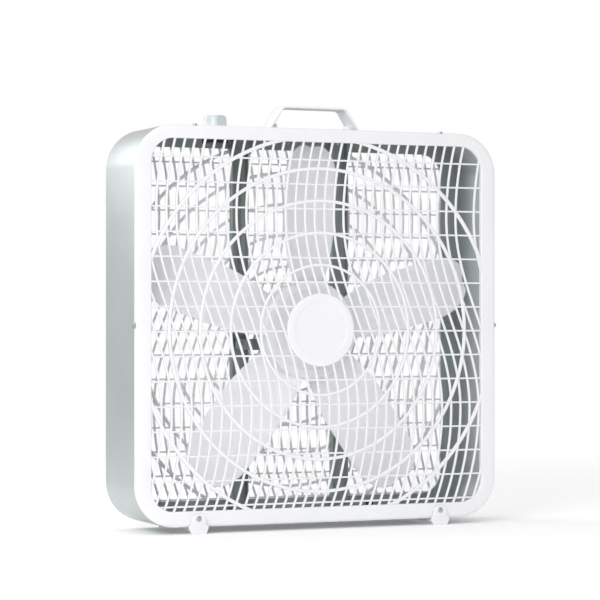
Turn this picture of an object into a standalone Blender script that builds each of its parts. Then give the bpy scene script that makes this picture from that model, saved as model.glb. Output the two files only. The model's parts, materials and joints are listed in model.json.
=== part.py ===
"""A 20-inch box fan, built from its separate pieces.

The fan stands on the floor plane, its front faces -Y, and the origin lies on the floor
under the middle of the fan. Lengths are in metres, written as multiples of a millimetre.
"""

import math

import bmesh
import bpy
from mathutils import Matrix, Vector

MM = 0.001

# Overall sizes
FAN_WIDTH = 521 * MM
FAN_HEIGHT = 521 * MM
FAN_DEPTH = 118 * MM
CORNER_RADIUS = 55 * MM
FLOOR_CLEARANCE = 9 * MM
AXIS_DROP = 6 * MM

# Clearances
GAP = 0.3 * MM
HOLE_CLEARANCE = 0.3 * MM
RUNNING_GAP = 0.1 * MM
CUT_MARGIN = 2 * MM

# Sheet-steel housing
SHEET = 1.0 * MM
HEM_THICKNESS = 2.6 * MM
RECESS_DEPTH = 4.0 * MM
HEM_ROUND = 0.5 * MM

# Front grille
RIM_DEPTH = 5.3 * MM
RIM_SIDE = 22 * MM
RIM_TOP = 18 * MM
RIM_BOTTOM = 20.5 * MM
OPENING_RADIUS = 31 * MM
PLATE_THICKNESS = 2.6 * MM
RIM_RETURN = 6.5 * MM
RIM_WALL = 2.2 * MM
LIP_DEPTH = 9 * MM
CORNER_STEPS = 5

# Rear grille
REAR_RIM_SIDE = 27 * MM
REAR_RIM_TOP = 22 * MM
REAR_RIM_BOTTOM = 25 * MM
REAR_RIM_THICKNESS = 3.3 * MM
FLANGE_BACKSET = 2 * MM

# Lattice of both grilles
DISC_RADIUS = 48.5 * MM
DISC_BORDER = 11 * MM
DISC_DISH = 1.0 * MM
RING_PITCH = 42.5 * MM
FIRST_RING = 86 * MM
RING_COUNT = 5
RING_WIDTH = 4.2 * MM
RING_STEPS = 28
CROSS_BAR_PITCH = 32.35 * MM
CROSS_BAR_WIDTH = 2.2 * MM
CROSS_BAR_REACH = 1
CROSS_BAR_STRIDE = 4
WAVE_PITCH = 13.93 * MM
WAVE_STRIDE = 10
WAVE_REACH = 1
WAVE_WIDTH = 3.0 * MM
WAVE_SWING = 31.6 * MM
WAVE_HALF_LENGTH = 256 * MM
WAVE_RISE = 18 * MM
WAVE_TURN_RADIUS = 360 * MM
WAVE_STEPS = 14
RING_DEPTH = 4.0 * MM
CROSS_BAR_DEPTH = 2.4 * MM
WAVE_DEPTH = 3.0 * MM
LATTICE_INSET = 0.6 * MM
LATTICE_BITE = 1.0 * MM

# Screws, all with the same pan head
SCREW_RADIUS = 1.6 * MM
SCREW_HEAD_RADIUS = 3.1 * MM
SCREW_HEAD_HEIGHT = 1.5 * MM
SCREW_STEPS = 8
POCKET_RADIUS = 3.7 * MM
POCKET_DEPTH = 1.9 * MM
EDGE_SCREW_INSET = 82.5 * MM
EDGE_SCREW_ADVANCE = 0.9 * MM
TAB_RADIUS = 3.3 * MM
TAB_RECESS = 0.05 * MM
EDGE_SCREW_LENGTH = 6 * MM
BOSS_RADIUS = 4.2 * MM
SCREW_END = 5 * MM

# Fan blades
BLADE_COUNT = 5
FIRST_BLADE_DEG = 16
BLADE_SETBACK = 8 * MM
BLADE_THICKNESS = 2.0 * MM
BLADE_CHORD_START = 34 * MM
BLADE_TIP_CLEARANCE = 7.5 * MM
BLADE_HALF_CHORD = 42 * MM
BLADE_ROOT_HALF_CHORD = 19 * MM
BLADE_TIP_LENGTH = 42 * MM
BLADE_TIP_HALF_CHORD = 14 * MM
BLADE_CAMBER = 4 * MM
BLADE_RISE = 60 * MM
BLADE_RISE_RADIUS = 37 * MM
BLADE_STEPS = 10
CHORD_STEPS = 4
HUB_RADIUS = 67 * MM
HUB_WALL = 3 * MM
HUB_BOSS_RADIUS = 10 * MM
HUB_STANDOFF = 12 * MM
HUB_DEPTH = 22 * MM
HUB_ROUND = 5 * MM

# Motor
SHAFT_RADIUS = 4 * MM
SHAFT_NOSE = 7 * MM
MOTOR_RADIUS = 44 * MM
MOTOR_BACKSET = 8.7 * MM
MOTOR_SHELL_DEPTH = 12 * MM
MOTOR_REAR_SHELL_DEPTH = 15.7 * MM
MOTOR_SHELL_WALL = 2 * MM
MOTOR_SHELL_SLOPE = 4 * MM
STATOR_DEPTH = 10 * MM
STATOR_BORE = 25 * MM
ROTOR_GAP = 0.4 * MM
ROTOR_OVERHANG = 1.2 * MM
WINDING_INNER = 26.5 * MM
WINDING_OUTER = 34.2 * MM
WINDING_DEPTH = 8 * MM
BEARING_RADIUS = 9 * MM
BEARING_LENGTH = 9.4 * MM
BEARING_WALL = 3 * MM
BEARING_PROUD = 2 * MM
BOLT_CIRCLE = 37.6 * MM
BOLT_COUNT = 4
EAR_RISE = 20 * MM
EAR_HEIGHT = 15 * MM
EAR_THICKNESS = 2.7 * MM
EAR_OVERREACH = 8 * MM
EAR_BITE = 1 * MM
ROUND_STEPS = 24

# Struts
STRUT_X = 74 * MM
STRUT_WIDTH = 24 * MM
STRUT_DEPTH = 9.7 * MM
STRUT_SHEET = 1.2 * MM
STRUT_SCREW_INSET = 10 * MM

# Feet
FOOT_INSET = 86 * MM
FOOT_TAB_WIDTH = 21 * MM
FOOT_TAB_THICKNESS = 3 * MM
FOOT_TAB_TOP = 26.5 * MM
FOOT_SHOULDER_WIDTH = 27 * MM
FOOT_SOLE_WIDTH = 20 * MM
FOOT_PAD_LENGTH = 12 * MM
FOOT_PAD_WIDTH = 14 * MM
FOOT_BAR_THICKNESS = 5 * MM
FOOT_SCREW_Z = 20 * MM

# Handle
HANDLE_Y = -22 * MM
HANDLE_BASE_SPAN = 130 * MM
HANDLE_TOP_SPAN = 92 * MM
HANDLE_RISE = 30.5 * MM
HANDLE_THICKNESS = 3 * MM
HANDLE_WIDTH = 31 * MM
HANDLE_ROUND = 9 * MM
HANDLE_BLOCK_LENGTH = 12 * MM
HANDLE_BLOCK_WIDTH = 16 * MM
HANDLE_BLOCK_HEIGHT = 7 * MM

# Speed switch and knob
KNOB_INSET = 132.5 * MM
KNOB_RADIUS = 15.5 * MM
KNOB_HEIGHT = 16 * MM
KNOB_ROUND = 2 * MM
KNOB_HOLLOW_RADIUS = 10.5 * MM
KNOB_HOLLOW_DEPTH = 5 * MM
KNOB_TOP_WALL = 4 * MM
SPINDLE_RADIUS = 3 * MM
SPINDLE_SEAT = 6 * MM
SWITCH_LENGTH = 30 * MM
SWITCH_WIDTH = 26 * MM
SWITCH_HEIGHT = 18 * MM
BUSH_RADIUS = 4.6 * MM
DIAL_RADIUS = 23 * MM
DIAL_THICKNESS = 0.8 * MM
NUT_RADIUS = 8 * MM
NUT_HEIGHT = 2.5 * MM

# Capacitor, leads and cord gland
CAPACITOR_WIDTH = 28 * MM
CAPACITOR_THICKNESS = 14 * MM
CAPACITOR_HEIGHT = 28 * MM
LEAD_RADIUS = 2.2 * MM
LEAD_SIDES = 6
LEAD_STEP = 12 * MM
LEAD_GAP = 1.5 * MM
GLAND_INSET = 138.5 * MM
GLAND_HEAD_RADIUS = 7 * MM
GLAND_HEAD_THICKNESS = 2 * MM
GLAND_BARREL_RADIUS = 4.7 * MM
GLAND_BORE_RADIUS = 3.4 * MM
GLAND_TAIL = 5 * MM
GLAND_STEPS = 16

# Places that follow from the sizes above
FRONT_Y = -FAN_DEPTH / 2
REAR_Y = FAN_DEPTH / 2
BOTTOM_Z = FLOOR_CLEARANCE
TOP_Z = FLOOR_CLEARANCE + FAN_HEIGHT
CENTRE_Z = FLOOR_CLEARANCE + FAN_HEIGHT / 2
AXIS_Z = CENTRE_Z - AXIS_DROP
SEAM_Y = FRONT_Y + RIM_DEPTH
FLANGE_REAR_Y = REAR_Y - RECESS_DEPTH
FLANGE_FRONT_Y = FLANGE_REAR_Y - SHEET
REAR_RIM_FRONT_Y = FLANGE_REAR_Y + GAP
REAR_RIM_REAR_Y = REAR_RIM_FRONT_Y + REAR_RIM_THICKNESS
STRUT_REAR_Y = FLANGE_FRONT_Y - GAP
STRUT_FRONT_Y = STRUT_REAR_Y - STRUT_DEPTH
MOTOR_REAR_Y = REAR_Y - MOTOR_BACKSET
STATOR_REAR_Y = MOTOR_REAR_Y - MOTOR_REAR_SHELL_DEPTH - GAP
STATOR_FRONT_Y = STATOR_REAR_Y - STATOR_DEPTH
MOTOR_FRONT_Y = STATOR_FRONT_Y - GAP - MOTOR_SHELL_DEPTH
HUB_REAR_Y = MOTOR_FRONT_Y - BEARING_PROUD - HUB_STANDOFF
HUB_FRONT_Y = HUB_REAR_Y - HUB_DEPTH
BLADE_MIDDLE_Y = HUB_REAR_Y - BLADE_SETBACK
BLADE_ROOT = HUB_RADIUS - HUB_WALL * 0.6
BLADE_TIP = min(FAN_WIDTH / 2, FAN_HEIGHT / 2 - AXIS_DROP) - BLADE_TIP_CLEARANCE
BLADE_SHOULDER = BLADE_TIP - BLADE_TIP_LENGTH
EDGE_SCREW_X = FAN_WIDTH / 2 - EDGE_SCREW_INSET
FOOT_X = FAN_WIDTH / 2 - FOOT_INSET
KNOB_X = KNOB_INSET - FAN_WIDTH / 2
GLAND_X = FAN_WIDTH / 2 - GLAND_INSET
UNDER_TOP_Z = TOP_Z - SHEET
EDGE_SCREW_Y = SEAM_Y - EDGE_SCREW_ADVANCE
REAR_SCREW_INSET = HEM_THICKNESS + (REAR_RIM_TOP - HEM_THICKNESS) / 2

ALONG_X = Matrix.Rotation(math.pi / 2, 4, "Y")
ALONG_Y = Matrix.Rotation(-math.pi / 2, 4, "X")
ALONG_Z = Matrix.Identity(4)
FLIP = Matrix.Rotation(math.pi, 4, "X")

materials = {}
parents = {}


def clear_scene():
    for obj in list(bpy.data.objects):
        bpy.data.objects.remove(obj)


def make_material(name, colour, roughness, metallic=0.0):
    mat = bpy.data.materials.new(name)
    mat.use_nodes = True
    shader = mat.node_tree.nodes["Principled BSDF"]
    shader.inputs["Base Color"].default_value = (*colour, 1.0)
    shader.inputs["Roughness"].default_value = roughness
    shader.inputs["Metallic"].default_value = metallic
    mat.diffuse_color = (*colour, 1.0)
    materials[name] = mat


def make_materials():
    make_material("painted_steel", (0.50, 0.53, 0.52), 0.4, 0.3)
    make_material("white_plastic", (0.86, 0.86, 0.87), 0.4)
    make_material("blade_plastic", (0.80, 0.81, 0.82), 0.35)
    make_material("strut_steel", (0.16, 0.18, 0.17), 0.5, 0.4)
    make_material("knob_plastic", (0.66, 0.72, 0.74), 0.25)
    make_material("zinc_steel", (0.55, 0.56, 0.57), 0.35, 1.0)
    make_material("motor_steel", (0.30, 0.31, 0.32), 0.45, 0.8)
    make_material("copper_winding", (0.45, 0.20, 0.09), 0.4, 0.6)
    make_material("black_plastic", (0.03, 0.03, 0.03), 0.5)
    make_material("sintered_bronze", (0.45, 0.31, 0.16), 0.5, 0.9)


def make_axis_empties():
    """The two turning axes: the fan's own, and the speed switch's."""
    for name, place in (("fan_axis", (0, 0, AXIS_Z)), ("switch_axis", (KNOB_X, 0, TOP_Z))):
        empty = bpy.data.objects.new(name, None)
        empty.location = place
        bpy.context.scene.collection.objects.link(empty)
        parents[name] = empty
    bpy.context.view_layer.update()


def finish(name, bm, material=None, parent=None):
    """Turns a bmesh in world places into a node, with its origin on its parent's axis if it has one."""
    bmesh.ops.remove_doubles(bm, verts=bm.verts, dist=0.001 * MM)
    bmesh.ops.recalc_face_normals(bm, faces=bm.faces)
    mesh = bpy.data.meshes.new(name)
    obj = bpy.data.objects.new(name, mesh)
    bpy.context.scene.collection.objects.link(obj)
    if parent:
        bmesh.ops.translate(bm, verts=bm.verts, vec=-parents[parent].location)
        obj.parent = parents[parent]
    bm.to_mesh(mesh)
    bm.free()
    mesh.shade_smooth()
    mesh.set_sharp_from_angle(angle=math.radians(35))
    if material:
        mesh.materials.append(materials[material])
    return obj


def guide(name, bm, parent=None):
    """A shape used only to cut or join another."""
    obj = finish(name, bm, parent=parent)
    obj.hide_render = True
    obj.display_type = "WIRE"
    return obj


def combine(obj, other, operation):
    modifier = obj.modifiers.new(operation.lower() + "_" + other.name, "BOOLEAN")
    modifier.operation = operation
    modifier.object = other
    modifier.solver = "EXACT"


def add_cylinder(bm, radius, start, end, axis=ALONG_Y, centre=(0, 0, 0), steps=ROUND_STEPS):
    """A cylinder along an axis, from start to end measured along it from the centre."""
    middle = axis @ Vector((0, 0, (start + end) / 2))
    place = Matrix.Translation(Vector(centre) + middle) @ axis
    bmesh.ops.create_cone(
        bm, cap_ends=True, segments=steps, radius1=radius, radius2=radius,
        depth=abs(end - start), matrix=place,
    )


def add_box(bm, low, high):
    size = Vector(high) - Vector(low)
    place = Matrix.Translation((Vector(high) + Vector(low)) / 2) @ Matrix.Diagonal((*size, 1.0))
    bmesh.ops.create_cube(bm, size=1.0, matrix=place)


def add_turned(bm, outline, centre=(0, 0, AXIS_Z), axis=ALONG_Y, steps=ROUND_STEPS):
    """Turns a closed outline of (radius, place along the axis) once round the axis."""
    points = [bm.verts.new(Vector((radius, 0, along))) for radius, along in outline]
    edges = [bm.edges.new((a, b)) for a, b in zip(points, points[1:] + points[:1])]
    spun = bmesh.ops.spin(
        bm, geom=points + edges, cent=(0, 0, 0), axis=(0, 0, 1), angle=2 * math.pi,
        steps=steps, use_merge=True, use_duplicate=False,
    )
    made = {v for v in spun["geom_last"] if isinstance(v, bmesh.types.BMVert)}
    made.update(v for v in bm.verts if any(v.co == p.co for p in points))
    return made, Matrix.Translation(centre) @ axis


def turned_mesh(outline, centre=(0, 0, AXIS_Z), axis=ALONG_Y, steps=ROUND_STEPS):
    """A new bmesh holding one turned shape, in its place."""
    bm = bmesh.new()
    place = add_turned(bm, outline, centre, axis, steps)[1]
    bmesh.ops.remove_doubles(bm, verts=bm.verts, dist=0.001 * MM)
    bmesh.ops.transform(bm, matrix=place, verts=bm.verts)
    return bm


def rounded_loop(bm, left, right, low, high, radius, y):
    """A closed loop of points round a rectangle with rounded corners, in an upright plane."""
    points = []
    corners = (
        (right - radius, high - radius, 0),
        (left + radius, high - radius, 90),
        (left + radius, low + radius, 180),
        (right - radius, low + radius, 270),
    )
    for cx, cz, start in corners:
        for step in range(CORNER_STEPS + 1):
            angle = math.radians(start + 90 * step / CORNER_STEPS)
            x = cx + radius * math.cos(angle)
            z = cz + radius * math.sin(angle)
            points.append(bm.verts.new((x, y, z)))
    return points


def outer_loop(bm, inset, y):
    """A loop a fixed distance inside the fan's outline."""
    half = FAN_WIDTH / 2 - inset
    return rounded_loop(
        bm, -half, half, BOTTOM_Z + inset, TOP_Z - inset, CORNER_RADIUS - inset, y
    )


def opening_loop(bm, grow, y):
    """A loop round the front grille's opening, grown outwards."""
    half = FAN_WIDTH / 2 - RIM_SIDE + grow
    return rounded_loop(
        bm, -half, half, BOTTOM_Z + RIM_BOTTOM - grow, TOP_Z - RIM_TOP + grow,
        OPENING_RADIUS + grow, y,
    )


def rear_opening_loop(bm, grow, y):
    """A loop round the rear grille's opening, grown outwards."""
    half = FAN_WIDTH / 2 - REAR_RIM_SIDE + grow
    return rounded_loop(
        bm, -half, half, BOTTOM_Z + REAR_RIM_BOTTOM - grow, TOP_Z - REAR_RIM_TOP + grow,
        OPENING_RADIUS + grow, y,
    )


def join_loops(bm, loops, closed):
    """Walls between one loop and the next, and a cap on each end when the row isn't closed."""
    following = loops[1:] + loops[:1] if closed else loops[1:]
    for first, second in zip(loops, following):
        count = len(first)
        for i in range(count):
            j = (i + 1) % count
            bm.faces.new((first[i], first[j], second[j], second[i]))
    if not closed:
        bm.faces.new(loops[0])
        bm.faces.new(loops[-1])


def prism(bm, outline, y_start, y_end):
    """An upright outline of (x, z) points, pushed along Y."""
    near = [bm.verts.new((x, y_start, z)) for x, z in outline]
    far = [bm.verts.new((x, y_end, z)) for x, z in outline]
    join_loops(bm, [near, far], closed=False)


def opening_prism(name, loop, y_start, y_end):
    bm = bmesh.new()
    join_loops(bm, [loop(bm, LATTICE_BITE, y_start), loop(bm, LATTICE_BITE, y_end)], closed=False)
    return guide(name, bm)


def wave_shift(z):
    """How far an upright bar has swung sideways at a height: a sine between its two turns, arcs beyond."""
    height = z - (CENTRE_Z + WAVE_RISE)
    quarter = WAVE_HALF_LENGTH / 2
    if abs(height) <= quarter:
        return -WAVE_SWING * math.sin(math.pi * height / WAVE_HALF_LENGTH)
    past = abs(height) - quarter
    swing = WAVE_SWING - past * past / (2 * WAVE_TURN_RADIUS)
    return -math.copysign(swing, height)


def lattice_pieces(name, face_y, towards):
    """The rings, cross bars and upright waves of a grille. towards is +1 if they lie behind its face."""
    rings = bmesh.new()
    start = face_y + towards * LATTICE_INSET
    for index in range(RING_COUNT):
        middle = FIRST_RING + index * RING_PITCH
        inner = middle - RING_WIDTH / 2
        outer = middle + RING_WIDTH / 2
        end = start + towards * RING_DEPTH
        ring = turned_mesh(
            [(inner, start), (outer, start), (outer, end), (inner, end)], steps=RING_STEPS
        )
        append(rings, ring)
    disc_back = face_y + towards * (RING_DEPTH + LATTICE_INSET)
    dish = DISC_RADIUS - DISC_BORDER
    disc_face = face_y + towards * LATTICE_INSET / 2
    append(rings, solid_turned([
        (dish, disc_face + towards * DISC_DISH),
        (dish + DISC_DISH, disc_face),
        (DISC_RADIUS, disc_face),
        (DISC_RADIUS, disc_back),
    ]))
    bars = bmesh.new()
    half_width = FAN_WIDTH / 2 - LATTICE_BITE
    bar_start = start + towards * (RING_DEPTH - CROSS_BAR_DEPTH) / 2
    bar_end = bar_start + towards * CROSS_BAR_DEPTH
    for index in range(-CROSS_BAR_REACH, CROSS_BAR_REACH + 1):
        z = AXIS_Z + index * CROSS_BAR_STRIDE * CROSS_BAR_PITCH
        add_box(
            bars,
            (-half_width, min(bar_start, bar_end), z - CROSS_BAR_WIDTH / 2),
            (half_width, max(bar_start, bar_end), z + CROSS_BAR_WIDTH / 2),
        )
    waves = bmesh.new()
    wave_start = start + towards * (RING_DEPTH - WAVE_DEPTH) / 2
    for index in range(-WAVE_REACH, WAVE_REACH + 1):
        add_wave(waves, index * WAVE_STRIDE * WAVE_PITCH, wave_start, towards)
    return rings, guide(name + "_cross_bars", bars), guide(name + "_waves", waves)


def add_wave(bm, x, y_start, towards):
    """One upright bar: a square section carried along its wave, from below the opening to above it."""
    low = BOTTOM_Z + LATTICE_BITE
    high = TOP_Z - LATTICE_BITE
    sections = []
    for step in range(WAVE_STEPS + 1):
        z = low + (high - low) * step / WAVE_STEPS
        middle = x + towards * wave_shift(z)
        y_end = y_start + towards * WAVE_DEPTH
        corners = ((-1, y_start), (1, y_start), (1, y_end), (-1, y_end))
        sections.append([bm.verts.new((middle + s * WAVE_WIDTH / 2, y, z)) for s, y in corners])
    join_loops(bm, sections, closed=False)


def append(bm, other):
    """Adds one bmesh to another."""
    mesh = bpy.data.meshes.new("append")
    other.to_mesh(mesh)
    other.free()
    bm.from_mesh(mesh)
    bpy.data.meshes.remove(mesh)


def solid_turned(outline, centre=(0, 0, AXIS_Z), axis=ALONG_Y, steps=ROUND_STEPS):
    """A turned solid with no bore: an open outline of (radius, along), with a flat face at each end."""
    bm = bmesh.new()
    loops = []
    for radius, along in outline:
        loop = []
        for step in range(steps):
            angle = 2 * math.pi * step / steps
            loop.append(bm.verts.new((radius * math.cos(angle), radius * math.sin(angle), along)))
        loops.append(loop)
    join_loops(bm, loops, closed=False)
    bmesh.ops.transform(bm, matrix=Matrix.Translation(centre) @ axis, verts=bm.verts)
    return bm


def screw_mesh(place, length):
    """A pan-head screw: place's Z points out of the head, and the head's underside is at its origin."""
    bm = solid_turned([
        (SCREW_RADIUS, -length),
        (SCREW_RADIUS, 0),
        (SCREW_HEAD_RADIUS, 0),
        (SCREW_HEAD_RADIUS * 0.8, SCREW_HEAD_HEIGHT),
    ], centre=(0, 0, 0), axis=Matrix.Identity(4), steps=SCREW_STEPS)
    bmesh.ops.transform(bm, matrix=place, verts=bm.verts)
    return bm


def facing(position, direction):
    """A placement at a position whose Z points along a direction."""
    turn = Vector((0, 0, 1)).rotation_difference(Vector(direction)).to_matrix().to_4x4()
    return Matrix.Translation(position) @ turn


def edge_screw_places():
    """Front grille screws: (position on the outer skin, outward direction)."""
    side_z = CENTRE_Z
    return {
        "front_screw_top_left": ((-EDGE_SCREW_X, EDGE_SCREW_Y, TOP_Z), (0, 0, 1)),
        "front_screw_top_right": ((EDGE_SCREW_X, EDGE_SCREW_Y, TOP_Z), (0, 0, 1)),
        "front_screw_left": ((-FAN_WIDTH / 2, EDGE_SCREW_Y, side_z), (-1, 0, 0)),
        "front_screw_right": ((FAN_WIDTH / 2, EDGE_SCREW_Y, side_z), (1, 0, 0)),
    }


def rear_screw_places():
    """Rear grille screws, driven forwards from the back."""
    top = TOP_Z - REAR_SCREW_INSET
    bottom = BOTTOM_Z + REAR_SCREW_INSET
    side = FAN_WIDTH / 2 - HEM_THICKNESS - (REAR_RIM_SIDE - HEM_THICKNESS) / 2
    return {
        "rear_screw_top_left": (-EDGE_SCREW_X, top),
        "rear_screw_top_right": (EDGE_SCREW_X, top),
        "rear_screw_left": (-side, CENTRE_Z),
        "rear_screw_right": (side, CENTRE_Z),
        "rear_screw_top": (0, top),
        "rear_screw_bottom": (0, bottom),
    }


def strut_screw_places():
    top = TOP_Z - STRUT_SCREW_INSET
    bottom = BOTTOM_Z + STRUT_SCREW_INSET
    return {
        "strut_screw_top_left": (-STRUT_X, top),
        "strut_screw_top_right": (STRUT_X, top),
        "strut_screw_bottom_left": (-STRUT_X, bottom),
        "strut_screw_bottom_right": (STRUT_X, bottom),
    }


def ear_screw_places():
    return {
        "ear_screw_upper_left": (-STRUT_X, AXIS_Z + EAR_RISE),
        "ear_screw_upper_right": (STRUT_X, AXIS_Z + EAR_RISE),
        "ear_screw_lower_left": (-STRUT_X, AXIS_Z - EAR_RISE),
        "ear_screw_lower_right": (STRUT_X, AXIS_Z - EAR_RISE),
    }


def bolt_places():
    """(x, z) of each motor through bolt."""
    for index in range(BOLT_COUNT):
        angle = 2 * math.pi * (index + 0.5) / BOLT_COUNT
        yield BOLT_CIRCLE * math.cos(angle), AXIS_Z + BOLT_CIRCLE * math.sin(angle)


def hole_guide(name, places, radius, y_start, y_end, steps=SCREW_STEPS):
    """Round cutters along Y at each (x, z)."""
    bm = bmesh.new()
    for x, z in places:
        add_cylinder(bm, radius, y_start, y_end, centre=(x, 0, z), steps=steps)
    return guide(name, bm)


def edge_hole_guide(name, radius):
    """Cutters for the front grille's edge screws, through the skin and the lip behind it."""
    bm = bmesh.new()
    reach = SHEET + RIM_WALL + EDGE_SCREW_LENGTH
    for position, direction in edge_screw_places().values():
        add_cylinder(
            bm, radius, -reach, reach, axis=facing((0, 0, 0), direction),
            centre=position, steps=SCREW_STEPS,
        )
    return guide(name, bm)


def screw_hole_radius():
    return SCREW_RADIUS + HOLE_CLEARANCE


def foot_screw_spots():
    return [(-FOOT_X, FOOT_SCREW_Z), (FOOT_X, FOOT_SCREW_Z)]


def make_housing():
    """Wrapped steel band with a hemmed rear edge and a flange for the rear grille and the struts."""
    bm = bmesh.new()
    join_loops(bm, [
        outer_loop(bm, 0, SEAM_Y + GAP),
        outer_loop(bm, 0, REAR_Y - HEM_ROUND),
        outer_loop(bm, HEM_ROUND, REAR_Y),
        outer_loop(bm, HEM_THICKNESS - HEM_ROUND, REAR_Y),
        outer_loop(bm, HEM_THICKNESS, REAR_Y - HEM_ROUND),
        outer_loop(bm, HEM_THICKNESS, FLANGE_REAR_Y),
        rear_opening_loop(bm, FLANGE_BACKSET, FLANGE_REAR_Y),
        rear_opening_loop(bm, FLANGE_BACKSET, FLANGE_FRONT_Y),
        outer_loop(bm, SHEET, FLANGE_FRONT_Y),
        outer_loop(bm, SHEET, SEAM_Y + GAP),
    ], closed=True)
    housing = finish("housing", bm, "painted_steel")
    hole = screw_hole_radius()
    combine(housing, tab_guide(), "UNION")
    combine(housing, edge_hole_guide("skin_holes", hole), "DIFFERENCE")
    flange_spots = list(rear_screw_places().values()) + list(strut_screw_places().values())
    flange_spots += foot_screw_spots()
    flange_start = FLANGE_FRONT_Y - CUT_MARGIN
    flange_end = FLANGE_REAR_Y + CUT_MARGIN
    holes = hole_guide("flange_holes", flange_spots, hole, flange_start, flange_end)
    combine(housing, holes, "DIFFERENCE")
    gland_hole = hole_guide(
        "gland_hole", [gland_spot()], GLAND_BARREL_RADIUS + HOLE_CLEARANCE, flange_start, REAR_Y,
        GLAND_STEPS,
    )
    combine(housing, gland_hole, "DIFFERENCE")
    top_holes = bmesh.new()
    top_start = UNDER_TOP_Z - CUT_MARGIN
    top_end = TOP_Z + CUT_MARGIN
    add_cylinder(
        top_holes, BUSH_RADIUS + HOLE_CLEARANCE, top_start, top_end, ALONG_Z, (KNOB_X, 0, 0),
        SCREW_STEPS * 2,
    )
    for side in (-1, 1):
        add_cylinder(
            top_holes, hole, top_start, top_end, ALONG_Z, (side * handle_screw_x(), HANDLE_Y, 0),
            SCREW_STEPS,
        )
    combine(housing, guide("top_holes", top_holes), "DIFFERENCE")


def make_front_grille():
    """Rim that closes the front of the shell, with the lattice and disc inside its opening."""
    face = FRONT_Y
    rings, cross_bars, waves = lattice_pieces("front", face, 1)
    grille = finish("front_grille", rings, "white_plastic")
    combine(grille, cross_bars, "UNION")
    combine(grille, waves, "UNION")
    combine(
        grille, opening_prism("front_opening", opening_loop, face - CUT_MARGIN, REAR_Y),
        "INTERSECT",
    )
    rim = bmesh.new()
    lip_outer = SHEET + GAP
    lip_inner = lip_outer + RIM_WALL
    lip_end = SEAM_Y + LIP_DEPTH
    plate_back = face + PLATE_THICKNESS
    join_loops(rim, [
        outer_loop(rim, 0, SEAM_Y),
        outer_loop(rim, 0, face + RIM_DEPTH * 0.68),
        outer_loop(rim, RIM_DEPTH * 0.2, face + RIM_DEPTH * 0.26),
        outer_loop(rim, RIM_DEPTH * 0.53, face + RIM_DEPTH * 0.07),
        outer_loop(rim, RIM_DEPTH, face),
        opening_loop(rim, RIM_WALL, face),
        opening_loop(rim, RIM_WALL * 0.3, face + RIM_WALL * 0.3),
        opening_loop(rim, 0, face + RIM_WALL),
        opening_loop(rim, 0, face + RIM_RETURN),
        opening_loop(rim, RIM_WALL, face + RIM_RETURN),
        opening_loop(rim, RIM_WALL, plate_back),
        outer_loop(rim, lip_inner, plate_back),
        outer_loop(rim, lip_inner, lip_end),
        outer_loop(rim, lip_outer, lip_end),
        outer_loop(rim, lip_outer, SEAM_Y),
    ], closed=True)
    combine(grille, guide("front_rim", rim), "UNION")
    bosses = hole_guide(
        "front_bosses", foot_screw_spots(), BOSS_RADIUS, plate_back - RIM_WALL / 2, lip_end
    )
    combine(grille, bosses, "UNION")
    hole = screw_hole_radius()
    combine(grille, edge_hole_guide("lip_holes", hole), "DIFFERENCE")
    combine(grille, notch_guide(), "DIFFERENCE")
    boss_holes = hole_guide(
        "boss_holes", foot_screw_spots(), hole, face - CUT_MARGIN, lip_end + CUT_MARGIN
    )
    combine(grille, boss_holes, "DIFFERENCE")


def notch_guide():
    """Notches, open at the seam, that let the shell's tabs and the edge screws' heads into the rim."""
    bm = bmesh.new()
    floor = -SHEET - GAP
    for position, direction in edge_screw_places().values():
        turn = facing((0, 0, 0), direction)
        add_cylinder(
            bm, POCKET_RADIUS, floor, CUT_MARGIN, axis=turn, centre=position,
            steps=SCREW_STEPS * 2,
        )
    mouths = bmesh.new()
    for position, direction in edge_screw_places().values():
        spot = Vector(position)
        out = Vector(direction)
        across = out.cross(Vector((0, 1, 0))) * (POCKET_RADIUS - TAB_RECESS)
        start = spot + out * floor - across
        end = spot + out * CUT_MARGIN + across
        start.y = EDGE_SCREW_Y
        end.y = SEAM_Y + CUT_MARGIN
        low = [min(a, b) for a, b in zip(start, end)]
        high = [max(a, b) for a, b in zip(start, end)]
        add_box(mouths, low, high)
    notches = guide("rim_notches", bm)
    combine(notches, guide("notch_mouths", mouths), "UNION")
    return notches


def tab_guide():
    """Round tabs on the shell's front edge, one under each edge screw."""
    bm = bmesh.new()
    for position, direction in edge_screw_places().values():
        add_cylinder(
            bm, TAB_RADIUS, TAB_RECESS - SHEET, -TAB_RECESS,
            axis=facing((0, 0, 0), direction), centre=position, steps=SCREW_STEPS * 2,
        )
    return guide("edge_tabs", bm)


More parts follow.
